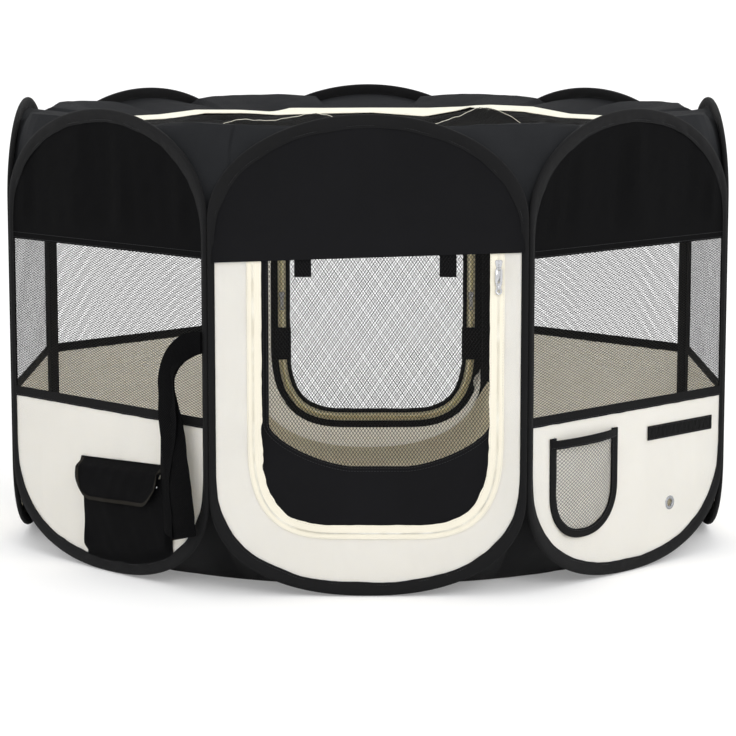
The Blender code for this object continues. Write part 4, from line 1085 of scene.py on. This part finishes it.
# %% Roof band and net cover
BAND_WIDTH = 0.022
angles = np.linspace(0, 2 * math.pi, 320, endpoint=False)
directions = np.stack([np.cos(angles), np.sin(angles)], 1)
share = np.linspace(0, 1, 9)[:, None]
rings = np.stack([ring_point(directions, ROOF_APOTHEM + 0.002 - BAND_WIDTH * s)
                  for s in share[:, 0]])
outer_x, outer_y = rings[0].T
band_height = ROOF_HEIGHT + 0.0012 - edge_drop(outer_x, outer_y) - (
    band_fall(outer_x, outer_y) * share ** 1.3)
band_grid = np.concatenate([rings, band_height[..., None]], -1)
band = cloth_piece("roof_zip_band_sewn", band_grid, "zip_tape_cream", 0.0008, wrap=True)
finish_piece(band, "front_panel", ["roof_zip_band"],
             folds=True)

COVER_APOTHEM = ROOF_APOTHEM - BAND_WIDTH - 0.001
COVER_SAG, COVER_WAVE, SLOPE_STEP = 0.012, 0.004, 0.002
CREST_Y, CREST_BEFORE, CREST_BEHIND = -0.262, 0.038, 0.055
CREST_X = (-0.36, -0.275, -0.236, -0.180, -0.123, -0.105, -0.066, -0.035, 0.0, 0.05, 0.087,
           0.116, 0.140, 0.166, 0.204, 0.235, 0.275, 0.36)
CREST_Z = (0.545, 0.552, 0.5610, 0.5600, 0.5620, 0.5655, 0.5730, 0.5660, 0.556, 0.552, 0.560,
           0.569, 0.5785, 0.572, 0.5705, 0.565, 0.552, 0.545)


def crest_height(x):
    """Top of the long fold that the slack net makes behind the front hoop, at each x."""
    return np.interp(x, CREST_X, CREST_Z) + 0.0006 * np.sin(x * 340) * np.sin(x * 97)


def cover_height(x, y):
    """The slack net: it sags in the middle, and a long uneven fold stands up at its front. The
    fold is a ridge whose height falls off on both sides like exp(-distance squared)."""
    out = np.hypot(x, y) / COVER_APOTHEM
    sag = -COVER_SAG * soft_step((1.04 - out) / 0.22)
    away = (y - CREST_Y) / np.where(y < CREST_Y, CREST_BEFORE, CREST_BEHIND)
    level = ROOF_HEIGHT - edge_drop(x, y) - band_fall(x, y)
    fold = (crest_height(x) - level + 0.010) * np.exp(-away ** 2)
    wave = COVER_WAVE * ripples(x, y, 170, 0.16, 0.03, 7, spread=3)
    return level + sag + soft_step((1.02 - out) / 0.12) * (fold + wave * (1 - np.exp(-away ** 2)))


def place_cover(x, y):
    """Points on the cover and its upward normal at each of them, from slopes over a step."""
    z = cover_height(x, y)
    slope_x = (cover_height(x + SLOPE_STEP, y) - z) / SLOPE_STEP
    slope_y = (cover_height(x, y + SLOPE_STEP) - z) / SLOPE_STEP
    normal = np.stack([-slope_x, -slope_y, np.ones_like(z)], -1)
    normal /= np.linalg.norm(normal, axis=-1, keepdims=True)
    return np.stack([x, y, z], -1), normal


cover_outline = ring_point(directions, COVER_APOTHEM)
cover = net_piece("roof_cover_net", cover_outline, place_cover, 30, ROOF_NET)
finish_piece(cover, "roof_cover", ["roof_mesh"],
             folds=True)
# Painted highlight: a thin strip of cream zip tape laid on the crest of the net's front fold stands
# for the bright line along that crest.
crest_line_x = np.linspace(-0.262, 0.262, 260)
crest_z = cover_height(crest_line_x, np.full(260, CREST_Y))
lay = np.array([-0.0016, -0.0006, 0.0006, 0.0016])[:, None]
flat = 0 * lay * crest_line_x
crest_highlight_grid = np.stack([crest_line_x + flat, CREST_Y + lay + flat, crest_z + 0.0008 + flat], -1)
crest_highlight_tape = cloth_piece("roof_crest_highlight_tape", crest_highlight_grid, "zip_tape_cream", 0.0005)
finish_piece(crest_highlight_tape, "roof_cover", folds=True)
print("roof net:", len(cover.data.polygons), "faces")

# %% [markdown]
# ## Base
# The floor is a round sheet. A gusset joins it to the bottoms of the hoops, so from outside only a
# dark edge shows below the panels. Inside, a beige lining covers both the gusset and the floor.

# %% Base
FLOOR_RADIUS = 0.405
BASE_APEX, LINING_APEX = 0.128, 0.124
EDGE_COUNT, FLOOR_COUNT = 720, 180
FLOOR_UNDER, FLOOR_TOP, LINING_FLOOR = 0.0011, 0.0016, 0.0042
edge = seam_ring(False, SEAM_INSET, SEAM_DEPTH, margin=0.35, steps=21, corner_inset=SEAM_CORNER,
                 apex=BASE_APEX, count=EDGE_COUNT)
rim = edge[:, :2] / np.linalg.norm(edge[:, :2], axis=1, keepdims=True) * FLOOR_RADIUS
floor_edge = np.concatenate([rim, np.full((EDGE_COUNT, 1), FLOOR_UNDER)], 1)
share = np.linspace(0, 1, 12)[:, None, None]
base_grid = edge + (floor_edge - edge) * share
base_grid[..., 2] = floor_edge[:, 2] + (edge[:, 2] - floor_edge[:, 2]) * (1 - share[..., 0]) ** 1.4
wave = ripples(base_grid[..., 0], base_grid[..., 1], 180, 0.08, 0.02, 6, spread=3)
base_grid[..., 2] += 0.0015 * (1 + wave) * np.sin(math.pi * share[..., 0])
base = cloth_piece("base_gusset_sewn", base_grid, "floor_black", wrap=True)
finish_piece(base, "front_panel", ["base_gusset"],
             folds=True)

radii = np.linspace(0.0, 1.0, 60)[1:, None]
turns = np.linspace(0, 2 * math.pi, FLOOR_COUNT, endpoint=False)[None, :]
floor_x, floor_y = FLOOR_RADIUS * radii * np.cos(turns), FLOOR_RADIUS * radii * np.sin(turns)
wave = ripples(floor_x, floor_y, 190, 0.25, 0.04, 7, spread=3)
floor_z = FLOOR_TOP + 0.0006 * (wave + 1) * soft_step((1 - radii) / 0.2)
hub = np.zeros((1, FLOOR_COUNT))
floor_grid = np.stack([np.vstack([hub + 0.0001 * np.cos(turns), floor_x]),
                       np.vstack([hub + 0.0001 * np.sin(turns), floor_y]),
                       np.vstack([hub + floor_z[0].mean(), floor_z])], -1)
floor_piece = cloth_piece("floor_sheet_sewn", floor_grid, "floor_black", 0.0010, wrap=True)
finish_piece(floor_piece, "front_panel", ["floor_sheet"],
             folds=True)

# %% Lining inside the base
top_edge = seam_ring(False, inset=0.0150, depth=0.0040, margin=0.35, steps=21,
                     corner_inset=0.0135, apex=LINING_APEX, count=EDGE_COUNT)
up_and_in = np.concatenate([-0.0010 * base_grid[..., :2] / FLOOR_RADIUS,
                            np.full(base_grid.shape[:2] + (1,), 0.0013)], -1)
inwards = np.linspace(0.98, 0.02, 30)[:, None, None]
disc = np.concatenate([rim * inwards, np.full((30, EDGE_COUNT, 1), LINING_FLOOR)], -1)
lining_grid = np.concatenate([top_edge[None], (base_grid + up_and_in)[1:], disc])
# The lining's light colour is painted light that makes up for the shade inside the base.
lining = cloth_piece("base_lining", lining_grid, "lining_painted_light", 0.0005, wrap=True)
finish_piece(lining, "front_panel",
             folds=True)

# %% [markdown]
# ## Zip sliders
# A slider is a shield-shaped plate with a bridge over it, and a stamped pull hangs from the bridge.
# Plates are drawn as outlines with a rounded edge, and their holes are cut as real holes.


# %% Plates, holes, rods and turned rings
PLATE_EDGE = 0.0003
HOLE_SIDES, ROD_SIDES = 40, 12


def plate(name, outline, y_front, y_back, panel, finish):
    """A flat part with a softened edge: its outline, moved in a little at both faces."""
    inner = outline - outward_of(outline, True) * PLATE_EDGE
    loops = np.array([[*p, y] for loop, y in ((inner, y_front), (outline, y_front + PLATE_EDGE),
                                              (outline, y_back - PLATE_EDGE), (inner, y_back))
                      for p in loop])
    count = len(outline)
    sides = quads(4, count, wrap_columns=True)
    caps = np.array([np.arange(count)[::-1], np.arange(count) + 3 * count])
    return make_piece(name, to_world(loops[:, [0, 2, 1]], panel), [sides, caps], finish,
                      loops[:, :2], 35)


def bar_outline(heights, halves, centre, count=64):
    """A closed outline, anticlockwise, whose half width follows smooth steps along its height."""
    z = np.linspace(heights[0], heights[-1], count)
    half = np.interp(z, heights, halves)
    right = np.stack([centre + half, z], 1)
    left = np.stack([centre - half[::-1], z[::-1]], 1)
    return even_line(np.vstack([right, left]), 2 * count, closed=True)


def cut_round_hole(piece, x, z, radius, panel, wide=1.0):
    """Cuts a round hole along the panel's Y and keeps the result as plain mesh."""
    turns = np.linspace(0, 2 * math.pi, HOLE_SIDES, endpoint=False)
    rim = np.stack([x + wide * radius * np.cos(turns), 0 * turns, z + radius * np.sin(turns)], 1)
    points = to_world(np.concatenate([rim + [0, -0.02, 0], rim + [0, 0.02, 0]]), panel)
    first = np.arange(HOLE_SIDES)
    caps = np.array([first[::-1], first + HOLE_SIDES])
    cutter = make_piece("cutter", points, [quads(2, HOLE_SIDES, wrap_columns=True), caps],
                        "spring_steel")
    cutter.data.materials.clear()
    change = piece.modifiers.new("hole", "BOOLEAN")
    change.operation, change.solver, change.object = "DIFFERENCE", "EXACT", cutter
    seen = piece.evaluated_get(bpy.context.evaluated_depsgraph_get())
    mesh = bpy.data.meshes.new_from_object(seen)
    piece.modifiers.clear()
    piece.data = mesh
    bpy.data.objects.remove(cutter)


def rod(name, line, radius, panel, finish):
    """A round rod along a line in space: a circle in the plane across the line at each point."""
    step = np.gradient(line, axis=0)
    step /= np.linalg.norm(step, axis=1, keepdims=True)
    side = np.cross(step, [1.0, 0.0, 0.0])
    side /= np.linalg.norm(side, axis=1, keepdims=True)
    other = np.cross(step, side)
    turns = np.linspace(0, 2 * math.pi, ROD_SIDES, endpoint=False)
    grid = (line[:, None] + radius * (np.cos(turns)[None, :, None] * side[:, None]
                                      + np.sin(turns)[None, :, None] * other[:, None]))
    first = np.arange(ROD_SIDES)
    caps = np.array([first[::-1], first + (len(line) - 1) * ROD_SIDES])
    u, v = np.meshgrid(turns * radius, run_lengths(grid, 0))
    return make_piece(name, to_world(grid, panel),
                      [quads(len(line), ROD_SIDES, wrap_columns=True), caps], finish,
                      np.stack([u, v], -1), 50)


def turned(name, profile, x, z, panel, finish, steps=48):
    """A closed profile of radius and Y, turned about the panel's Y through x and z."""
    turns = np.linspace(0, 2 * math.pi, steps, endpoint=False)[:, None]
    grid = np.stack([x + profile[:, 0] * np.cos(turns), profile[:, 1] + 0 * turns,
                     z + profile[:, 0] * np.sin(turns)], -1)
    u, v = np.meshgrid(np.arange(len(profile)) * 0.001, np.arange(steps) * 0.001)
    return make_piece(name, to_world(grid, panel),
                      [quads(steps, len(profile), wrap_rows=True, wrap_columns=True)], finish,
                      np.stack([u, v], -1), 50)


# %% Slider and pull of the front door
SLIDER_TOP = 0.4077
# The shield's half widths at these depths below its top, from its point upwards.
SHIELD_DOWN = (0.012, 0.0112, 0.008, 0.005, 0.0015, 0.0)
SHIELD_HALVES = (0.0016, 0.0027, 0.0031, 0.0040, 0.0045, 0.0030)
SHIELD_DEPTH = 0.0018
BRIDGE_RISE, BRIDGE_DOWN, BRIDGE_REACH, BRIDGE_RADIUS = 0.0019, 0.006, 0.0042, 0.0008


def make_slider(name, x, top, face, side, panel, body, node):
    """The shield-shaped plate against the coils and the bridge that the pull hangs from."""
    outline = bar_outline(top - np.array(SHIELD_DOWN), SHIELD_HALVES, x, 40)
    near, far = sorted((face, face + side * SHIELD_DEPTH))
    shield = plate(name + "_shield", outline, near, far, panel, "zip_metal")
    finish_piece(shield, body, [node])
    turn = np.linspace(0, math.pi, 25)
    bridge = np.stack([0 * turn + x, face + side * (0.0014 + BRIDGE_RISE * np.sin(turn)),
                       top - BRIDGE_DOWN + BRIDGE_REACH * np.cos(turn)], 1)
    finish_piece(rod(name + "_bridge", bridge, BRIDGE_RADIUS, panel, "zip_metal"), body)


FRONT_ZIP_X = DOORS["front"][0] + DOOR_HALF
make_slider("front_slider_metal", FRONT_ZIP_X, SLIDER_TOP, -0.0007, -1, "front", "front_slider",
            "front_zip_slider")

PULL_TOP, PULL_END, PULL_FACE, PULL_DEPTH = 0.3985, 0.3667, -0.0042, 0.0012
pull_heights = [PULL_END + up for up in (0.0, 0.0006, 0.0020, 0.0040, 0.0058, 0.0070, 0.0105,
                                         0.0120, 0.0150)]
pull_heights += [PULL_TOP - 0.0030, PULL_TOP - 0.0010, PULL_TOP]
pull_halves = (0.0014, 0.0026, 0.0038, 0.0041, 0.0039, 0.0030, 0.0029, 0.0037, 0.0043, 0.0043,
               0.0036, 0.0020)
pull = plate("front_pull_metal", bar_outline(pull_heights, pull_halves, FRONT_ZIP_X, 90),
             PULL_FACE - PULL_DEPTH, PULL_FACE, "front", "zip_metal")
for height, radius, wide in ((PULL_END + 0.0036, 0.0019, 1.0), (PULL_END + 0.0148, 0.0014, 1.0),
                             (PULL_TOP - 0.0022, 0.0012, 1.3)):
    cut_round_hole(pull, FRONT_ZIP_X, height, radius, "front", wide)
finish_piece(pull, "front_pull", ["front_zip_pull"])

# %% The back door's two sliders hang inside
BACK_ZIPS = tuple((side_name, DOORS["back"][0] + sign * DOOR_HALF)
                  for side_name, sign in (("left", -1), ("right", 1)))
BACK_SLIDER_TOP = 0.261
for side_name, x in BACK_ZIPS:
    name = "back_slider_" + side_name
    make_slider(name + "_metal", x, BACK_SLIDER_TOP, 0.0016, 1, "back", name,
                "back_zip_slider_" + side_name)
    shape = bar_outline((0.2330, 0.2336, 0.2352, 0.2375, 0.2400, 0.2480, 0.2520, 0.2535),
                        (0.0012, 0.0024, 0.0033, 0.0034, 0.0026, 0.0026, 0.0030, 0.0018), x, 60)
    pull = plate(name + "_pull", shape, 0.0050, 0.0062, "back", "zip_metal")
    cut_round_hole(pull, x, 0.2366, 0.0018, "back")
    finish_piece(pull, name)
print("sliders: 3")

# %% [markdown]
# ## Tabs
# Two short tabs hang behind the front door's top and tie it up when it is rolled. Two wider ones
# lie across the back door's zip. They are single cloth with a turned edge, so their edges are
# thicker than their middles, and stitches hold them.


# %% Tabs and stitched rectangles
def make_tab(name, middle, half, low, high, y, panel, node, curl, seed):
    """A small cloth rectangle standing off inwards by y, its free end curled off by curl."""
    left, right = middle - half, middle + half
    u, v = np.meshgrid(np.linspace(0, 1, 17), np.linspace(0, 1, 21))
    x, z = left + (right - left) * u, low + (high - low) * v
    from_edge = np.minimum(np.minimum(u, 1 - u) * (right - left), v * (high - low))
    hem = np.exp(-(from_edge / 0.0012) ** 2)
    wave = ripples(x, z, seed, 0.03, 0.01, 4)
    y = y + curl * (1 - v) ** 2 + 0.0002 * hem + 0.0004 * wave * (1 - v)
    piece = cloth_piece(name, to_world(np.stack([x, y, z], -1), panel), "cloth_black", 0.0012)
    finish_piece(piece, panel + "_panel", [node])


def rectangle_stitches(name, left, right, low, high, y, panel):
    corners = np.array([[left, low], [right, low], [right, high], [left, high], [left, low]])
    stitches(name, [(even_line(corners, 160), y, -1)], panel, panel + "_panel")


for side_name, middle in (("left", -0.0775), ("right", 0.095)):
    make_tab("tie_tab_%s_sewn" % side_name, middle, 0.010, 0.387, 0.418, 0.0014, "front",
             "tie_tab_" + side_name, 0.0006, 201)
for side_name, middle in BACK_ZIPS:
    make_tab("zip_tab_%s_sewn" % side_name, middle, 0.014, 0.156, 0.206, 0.0048, "back",
             "back_zip_tab_" + side_name, 0.0008, 203)
TIE_BOXES = ((-0.1147, -0.0750, 0.4145, 0.4290), (0.0955, 0.1340, 0.4193, 0.4327))
for number, box in enumerate(TIE_BOXES):
    rectangle_stitches("tie_box_%d" % number, *box, -0.0008, "front")
print("tabs: 4")

# %% [markdown]
# ## Storage pocket
# A black pouch is sewn on the left-front panel. Its front stands off on folded sides. A flap with
# a bound edge hangs over its mouth, and its lower right corner is turned up.

# %% Pocket
POCKET_LEFT, POCKET_RIGHT, POCKET_TOP, POCKET_DEPTH = -0.039, 0.125, 0.134, 0.012
POCKET_BACK, POCKET_SEAM, POCKET_INSET = 0.0013, 0.002, 0.0115
u, v = np.meshgrid(np.linspace(0, 1, 91), np.linspace(0, 1, 61))
x = POCKET_LEFT + (POCKET_RIGHT - POCKET_LEFT) * u
arc = hoop_end(False, POCKET_INSET, np.linspace(math.pi, 0, 200))
floor_z = np.interp(x, arc[:, 0], arc[:, 1])
z = floor_z + (POCKET_TOP - floor_z) * v
side_room = soft_step(np.minimum(u / 0.022, (1 - u) / 0.03))
bottom_room = soft_step(v / 0.16)
pouch_wave = ripples(x, z, 210, 0.09, 0.02, 6, slant=0.3, spread=1.2)
y = -POCKET_BACK - (POCKET_DEPTH - 0.0022) * side_room * bottom_room * (0.86 + 0.10 * pouch_wave)
# The pouch takes the darker black cloth, whose colour holds painted shade.
pouch = cloth_piece("pocket_pouch", to_world(np.stack([x, y, z], -1), "left_front"),
                    "cloth_black_painted_shade")
finish_piece(pouch, "left_front_panel", ["pocket_body"])
for number, edge_x in enumerate((POCKET_LEFT + POCKET_SEAM, POCKET_RIGHT - POCKET_SEAM)):
    low = float(np.interp(edge_x, arc[:, 0], arc[:, 1]))
    seam = straight(edge_x, low, edge_x, POCKET_TOP)
    stitches("pocket_stitches_%d" % number, [(seam, -0.0022, -1)], "left_front",
             "left_front_panel")

# %% Flap
FLAP_LEFT, FLAP_RIGHT, FLAP_TOP, FLAP_BOTTOM = -0.044, 0.113, 0.150, 0.0890
FLAP_WIDTH = FLAP_RIGHT - FLAP_LEFT
# The right corner's radius, the left one's width and height, and how much higher the right is.
FLAP_CORNER, LEFT_CORNER, LEFT_CORNER_HEIGHT, FLAP_TILT = 0.034, 0.024, 0.022, 0.008
FLAP_BACK, FLAP_REACH, FLAP_WAVE, FLAP_TURN_UP = 0.0016, 0.0112, 0.0012, 0.0040


def flap_points(u, v, lift=0.0):
    """The flap at shares u across and v down: its end is rounded at both corners, it bends over
    the pouch's mouth, and its lower right corner turns up towards us."""
    x = FLAP_LEFT + FLAP_WIDTH * u
    from_side = np.minimum(u, 1 - u) * FLAP_WIDTH
    rounding = np.clip(1 - from_side / np.where(u < 0.5, LEFT_CORNER, FLAP_CORNER), 0, 1)
    bottom = FLAP_BOTTOM + np.where(u < 0.5, LEFT_CORNER_HEIGHT, FLAP_CORNER) * (
        1 - np.sqrt(1 - rounding ** 2)) + FLAP_TILT * u
    top = FLAP_TOP - FLAP_TILT * (1 - u)
    z = top + (bottom - top) * v
    down = top - z
    bend = soft_step(down / 0.013)
    wave = ripples(x, z, 220, 0.08, 0.02, 5, spread=1.5)
    corner = soft_step((u - 0.72) / 0.25) * soft_step((v - 0.35) / 0.5)
    at_left = 1 - soft_step(u / 0.10)
    ear = 0.005 * at_left * (1 - soft_step(down / 0.007))
    ear = ear + 0.0035 * (1 - soft_step(u / 0.30)) * np.sin(math.pi * np.clip(down / 0.046, 0, 1))
    y = -FLAP_BACK - FLAP_REACH * bend - FLAP_WAVE * wave * bend - FLAP_TURN_UP * corner ** 2 - lift
    return np.stack([x - ear, y, z + 0.006 * corner ** 2], -1)


u, v = np.meshgrid(np.linspace(0, 1, 91), np.linspace(0, 1, 41))
# The flap takes the darker black cloth, whose colour holds painted shade.
flap = cloth_piece("pocket_flap_sewn", to_world(flap_points(u, v), "left_front"),
                   "cloth_black_painted_shade", 0.0010)
finish_piece(flap, "flap", ["pocket_flap"])
FLAP_BINDING_U, FLAP_BINDING_V, FLAP_BINDING_LIFT = 0.035, 0.085, 0.0008
edge_u = np.concatenate([np.zeros(80), np.linspace(0, 1, 160), np.ones(80)])
edge_v = np.concatenate([np.linspace(0.04, 1, 80), np.ones(160), np.linspace(1, 0.04, 80)])
rim = flap_points(edge_u, edge_v, FLAP_BINDING_LIFT)
inset_u = 0.5 + (edge_u - 0.5) * (1 - 2 * FLAP_BINDING_U)
inset_v = np.where(edge_v > 1 - FLAP_BINDING_V, 1 - FLAP_BINDING_V, edge_v)
inner_rim = flap_points(inset_u, inset_v, FLAP_BINDING_LIFT)
share = np.linspace(0, 1, 5)[:, None, None]
binding_grid = rim + (inner_rim - rim) * share
flap_binding = cloth_piece("pocket_flap_binding", to_world(binding_grid, "left_front"),
                           "binding_olive", 0.0005)
finish_piece(flap_binding, "flap")
snap_half = np.array([[0.0001, -0.0150], [0.0008, -0.0149], [0.0013, -0.0144], [0.0014, -0.0137],
                      [0.0014, -0.0130], [0.0001, -0.0130]])
snap = turned("pocket_snap", snap_half, 0.1105, 0.1240, "left_front", "zip_metal", 24)
finish_piece(snap, "left_front_panel")
print("pocket and flap made")

# %% [markdown]
# ## Strap
# One long webbing strap is sewn in at the corner as a loop and hangs down in two layers. The
# front layer slips to the right of the back one, so both show, and their ends are cut aslant.

# %% Strap
STRAP_START_X = PITCH / 2 - 0.005
STRAP_BEND = 0.050
STRAP_HIGH, STRAP_LOW = 0.308, 0.069
# Its width at the seam, what the bend and then the drop add to it, and how much its waist takes.
STRAP_WIDTH, BEND_WIDENS, DROP_WIDENS, STRAP_WAIST = 0.026, 0.016, 0.022, 0.32
STRAP_BACK, STRAP_OUT, STRAP_SLIP = 0.0055, 0.0110, 0.017


def make_strap_layer(name, first, last, stand, slant, tilt, seed, node=()):
    """One layer between two shares of the strap's width, which drift from 0 and 1 to first and
    last on the way down. slant lowers one end corner, and stand moves the layer off the panel."""
    bend, drop = STRAP_BEND * math.pi / 2, STRAP_HIGH - STRAP_BEND - STRAP_LOW
    run = np.linspace(0, bend + drop, 120)[:, None]
    turn = np.clip(run / bend, 0, 1) * math.pi / 2
    down = np.clip((run - bend) / drop, 0, 1)
    share = np.linspace(0, 1, 17)[None, :]
    drift = soft_step(down / 0.75)
    low, high = first * drift, 1 - (1 - last) * drift
    across = low + (high - low) * share - 0.5
    width = (STRAP_WIDTH + BEND_WIDENS * turn / (math.pi / 2)
             + DROP_WIDENS * soft_step(down / 0.8))
    waist = 1 - STRAP_WAIST * np.exp(-((run - bend) / 0.035) ** 2)
    reach = STRAP_BEND * np.sin(turn) - STRAP_SLIP * down
    x = STRAP_START_X - reach - across * width * waist * np.sin(turn)
    z = STRAP_HIGH - STRAP_BEND * (1 - np.cos(turn)) - drop * down
    z = z + across * width * waist * np.cos(turn) + slant * (share - 0.5) * down ** 6
    curl = 0.0016 * np.sin(math.pi * share) * (0.4 + down)
    wave = ripples(across * width, run + 0 * share, seed, 0.12, 0.02, 6, slant=1.57)
    lean = tilt * (share - 0.5) * np.sin(turn) ** 2
    y = (-STRAP_BACK - STRAP_OUT * np.sin(turn) ** 2 - stand - curl
         - 0.0010 * wave * np.sin(turn) + lean)
    grid = to_world(np.stack([x, y + 0 * x, z], -1), "left_front")
    piece = cloth_piece(name, grid, "webbing_black", 0.0012)
    finish_piece(piece, "strap", node)


make_strap_layer("strap_back_layer", 0.60, 1.0, -0.0011, 0.004, 0.0090, 230, ["webbing_strap"])
make_strap_layer("strap_front_layer", 0.0, 0.68, 0.0013, -0.012, -0.0012, 231)
print("strap made")

# %% [markdown]
# ## Bottle pocket, strip and eyelet
# The bottle pocket is a net pouch bound with tape. It is sewn down along its U and stands open at
# its top, so its middle bulges out.

# %% Bottle pocket
BOTTLE_CENTRE, BOTTLE_HALF = -0.0888, 0.0622
BOTTLE_TOP, BOTTLE_BOTTOM = 0.184, 0.059
BOTTLE_TAPE = 0.0095


def bottle_line(inset, count, top=BOTTLE_TOP):
    line = u_line(BOTTLE_CENTRE, BOTTLE_HALF, top, BOTTLE_BOTTOM, BOTTLE_HALF, 0.060, 2.2, 500)
    return even_line(line - inset * outward_of(line), count)


def bottle_bulge(x, z):
    """How far the pouch stands off: nothing along its sewn U, most in the middle of its top."""
    across = np.clip(1 - ((x - BOTTLE_CENTRE) / (BOTTLE_HALF - 0.004)) ** 2, 0, 1)
    up = np.clip((z - BOTTLE_BOTTOM - 0.004) / (BOTTLE_TOP - BOTTLE_BOTTOM), 0, 1)
    return 0.0070 * across ** 0.8 * soft_step(up / 0.8) ** 0.8


def place_bottle(x, z):
    wave = 0.0006 * ripples(x, z, 240, 0.06, 0.02, 5, spread=2)
    return on_panel(x, -0.0018 - bottle_bulge(x, z) - wave, z, "right_front")


bottle_net = net_piece("bottle_pocket_net", bottle_line(0.004, 120), place_bottle, 12, BOTTLE_NET)
finish_piece(bottle_net, "right_front_panel", ["bottle_pocket"])
make_binding("bottle_side_binding", bottle_line(0.0, 160, BOTTLE_TOP + 0.003), BOTTLE_TAPE,
             "right_front", "right_front_panel", 241, -0.0024)
top_line = straight(BOTTLE_CENTRE + BOTTLE_HALF - 0.001, BOTTLE_TOP + 0.001,
                    BOTTLE_CENTRE - BOTTLE_HALF + 0.001, BOTTLE_TOP - 0.001, 60)
make_binding("bottle_top_binding", top_line, BOTTLE_TAPE, "right_front", "right_front_panel",
             242, -0.0030 - bottle_bulge(top_line[:, 0], top_line[:, 1] - 0.004))
print("bottle pocket faces:", len(bottle_net.data.polygons))

# %% Hook-and-loop strip
u, v = np.meshgrid(np.linspace(0, 1, 131), np.linspace(0, 1, 19))
STRIP_LEFT, STRIP_LOW, STRIP_LENGTH, STRIP_HEIGHT = 0.036, 0.162, 0.130, 0.018
x, z = STRIP_LEFT + STRIP_LENGTH * u, STRIP_LOW + STRIP_HEIGHT * v
from_edge = np.minimum(np.minimum(u * STRIP_LENGTH, (1 - u) * STRIP_LENGTH),
                       np.minimum(v, 1 - v) * STRIP_HEIGHT)
y = -0.0011 - 0.0006 * soft_step(from_edge / 0.0015) - 0.0002 * ripples(x, z, 250, 0.01, 0.003, 5)
strip = cloth_piece("hook_and_loop_pile", to_world(np.stack([x, y, z], -1), "right_front"),
                    "pile_black", 0.0009)
finish_piece(strip, "right_front_panel", ["hook_and_loop_strip"])
rectangle_stitches("strip_stitches", 0.0376, 0.1644, 0.1636, 0.1784, -0.0021, "right_front")

# %% Eyelet, set in a real hole in the cloth
EYELET_X, EYELET_Z, EYELET_HOLE, EYELET_SCALE = 0.083, 0.076, 0.0054, 1.2
cut_round_hole(bpy.data.objects["right_front_lower_cloth_sewn"], EYELET_X, EYELET_Z, EYELET_HOLE,
               "right_front")
turn = np.linspace(0, math.pi, 13)
roll = np.stack([0.00575 + 0.00175 * -np.cos(turn), -0.0007 - 0.0009 * np.sin(turn)], 1)
profile = np.vstack([roll, [[0.0058, -0.0006], [0.0047, -0.0005], [0.0045, 0.0006],
                            [0.0058, 0.0008], [0.0072, 0.0007], [0.0073, 0.0012],
                            [0.0060, 0.0016], [0.0044, 0.0014], [0.0040, 0.0009]]])
profile[:, 0] *= EYELET_SCALE
eyelet = turned("eyelet_ring", profile, EYELET_X, EYELET_Z, "right_front", "eyelet_metal")
finish_piece(eyelet, "right_front_panel", ["eyelet"])
print("strip and eyelet made")

# %% [markdown]
# ## Light and ground
# One broad lamp from the upper right and an even white room light the pen plainly. Rays from the
# camera and from reflections see a white room, so the background stays white without more light on
# the pen. The ground is pale cloth-like paper that keeps the soft shadow.

# %% Studio
ROOM_LIGHT = 1.20
KEY_POWER, KEY_SIZE = 41.0, 1.6
GROUND_ALBEDO = 0.78
GROUND_GLOW = 0.22
GROUND_SIZE = 200.0

world = bpy.data.worlds.new("white_room")
bpy.context.scene.world = world
world.use_nodes = True
tree = world.node_tree
rays = add_node(tree, "ShaderNodeLightPath").outputs
seen = add_node(tree, "ShaderNodeMath", [rays["Is Camera Ray"], rays["Is Glossy Ray"]],
                operation="MAXIMUM")
through = add_node(tree, "ShaderNodeMath", [seen.outputs[0], rays["Is Transmission Ray"]],
                   operation="MAXIMUM")
strength = add_node(tree, "ShaderNodeMapRange",
                    {"Value": through.outputs[0], "To Min": ROOM_LIGHT, "To Max": 1.0})
background = tree.nodes["Background"].inputs
background["Color"].default_value = (1.0, 1.0, 1.0, 1.0)
tree.links.new(strength.outputs["Result"], background["Strength"])

LAMP_PLACE, LAMP_AIM = (1.35, -3.75, 2.4), (0, 0, 0.25)
lamp = bpy.data.lights.new("key_lamp", "AREA")
lamp.shape, lamp.size, lamp.energy = "SQUARE", KEY_SIZE, KEY_POWER
holder = bpy.data.objects.new("key_lamp", lamp)
holder.location = LAMP_PLACE
aim = Vector(np.subtract(LAMP_AIM, LAMP_PLACE))
holder.rotation_euler = aim.to_track_quat("-Z", "Y").to_euler()
bpy.context.scene.collection.objects.link(holder)

mesh = bpy.data.meshes.new("ground")
mesh.from_pydata([(x * GROUND_SIZE, y * GROUND_SIZE, -0.0006)
                  for x, y in ((-1, -1), (1, -1), (1, 1), (-1, 1))], [], [(0, 1, 2, 3)])
ground = bpy.data.objects.new("ground", mesh)
bpy.context.scene.collection.objects.link(ground)
paper = Nodes("ground_paper")
paper.set(Roughness=0.9, Specular_IOR_Level=0.1)
cloud = paper.noise(paper.coordinates.outputs["Object"], 3.0)
paper.join("Base Color", paper.ramp(cloud, 0.3, 0.7, (GROUND_ALBEDO - 0.005,) * 3 + (1,),
                                    (GROUND_ALBEDO + 0.005,) * 3 + (1,)))
rays = paper.add("ShaderNodeLightPath").outputs
glow = paper.add("ShaderNodeEmission",
                 {"Strength": paper.maths("MULTIPLY", rays["Is Camera Ray"], GROUND_GLOW)})
both = paper.add("ShaderNodeAddShader", [paper.shader.outputs[0], glow.outputs[0]])
paper.tree.links.new(both.outputs[0], paper.tree.nodes["Material Output"].inputs["Surface"])
mesh.materials.append(paper.material)
bpy.context.scene.view_settings.view_transform = "Standard"
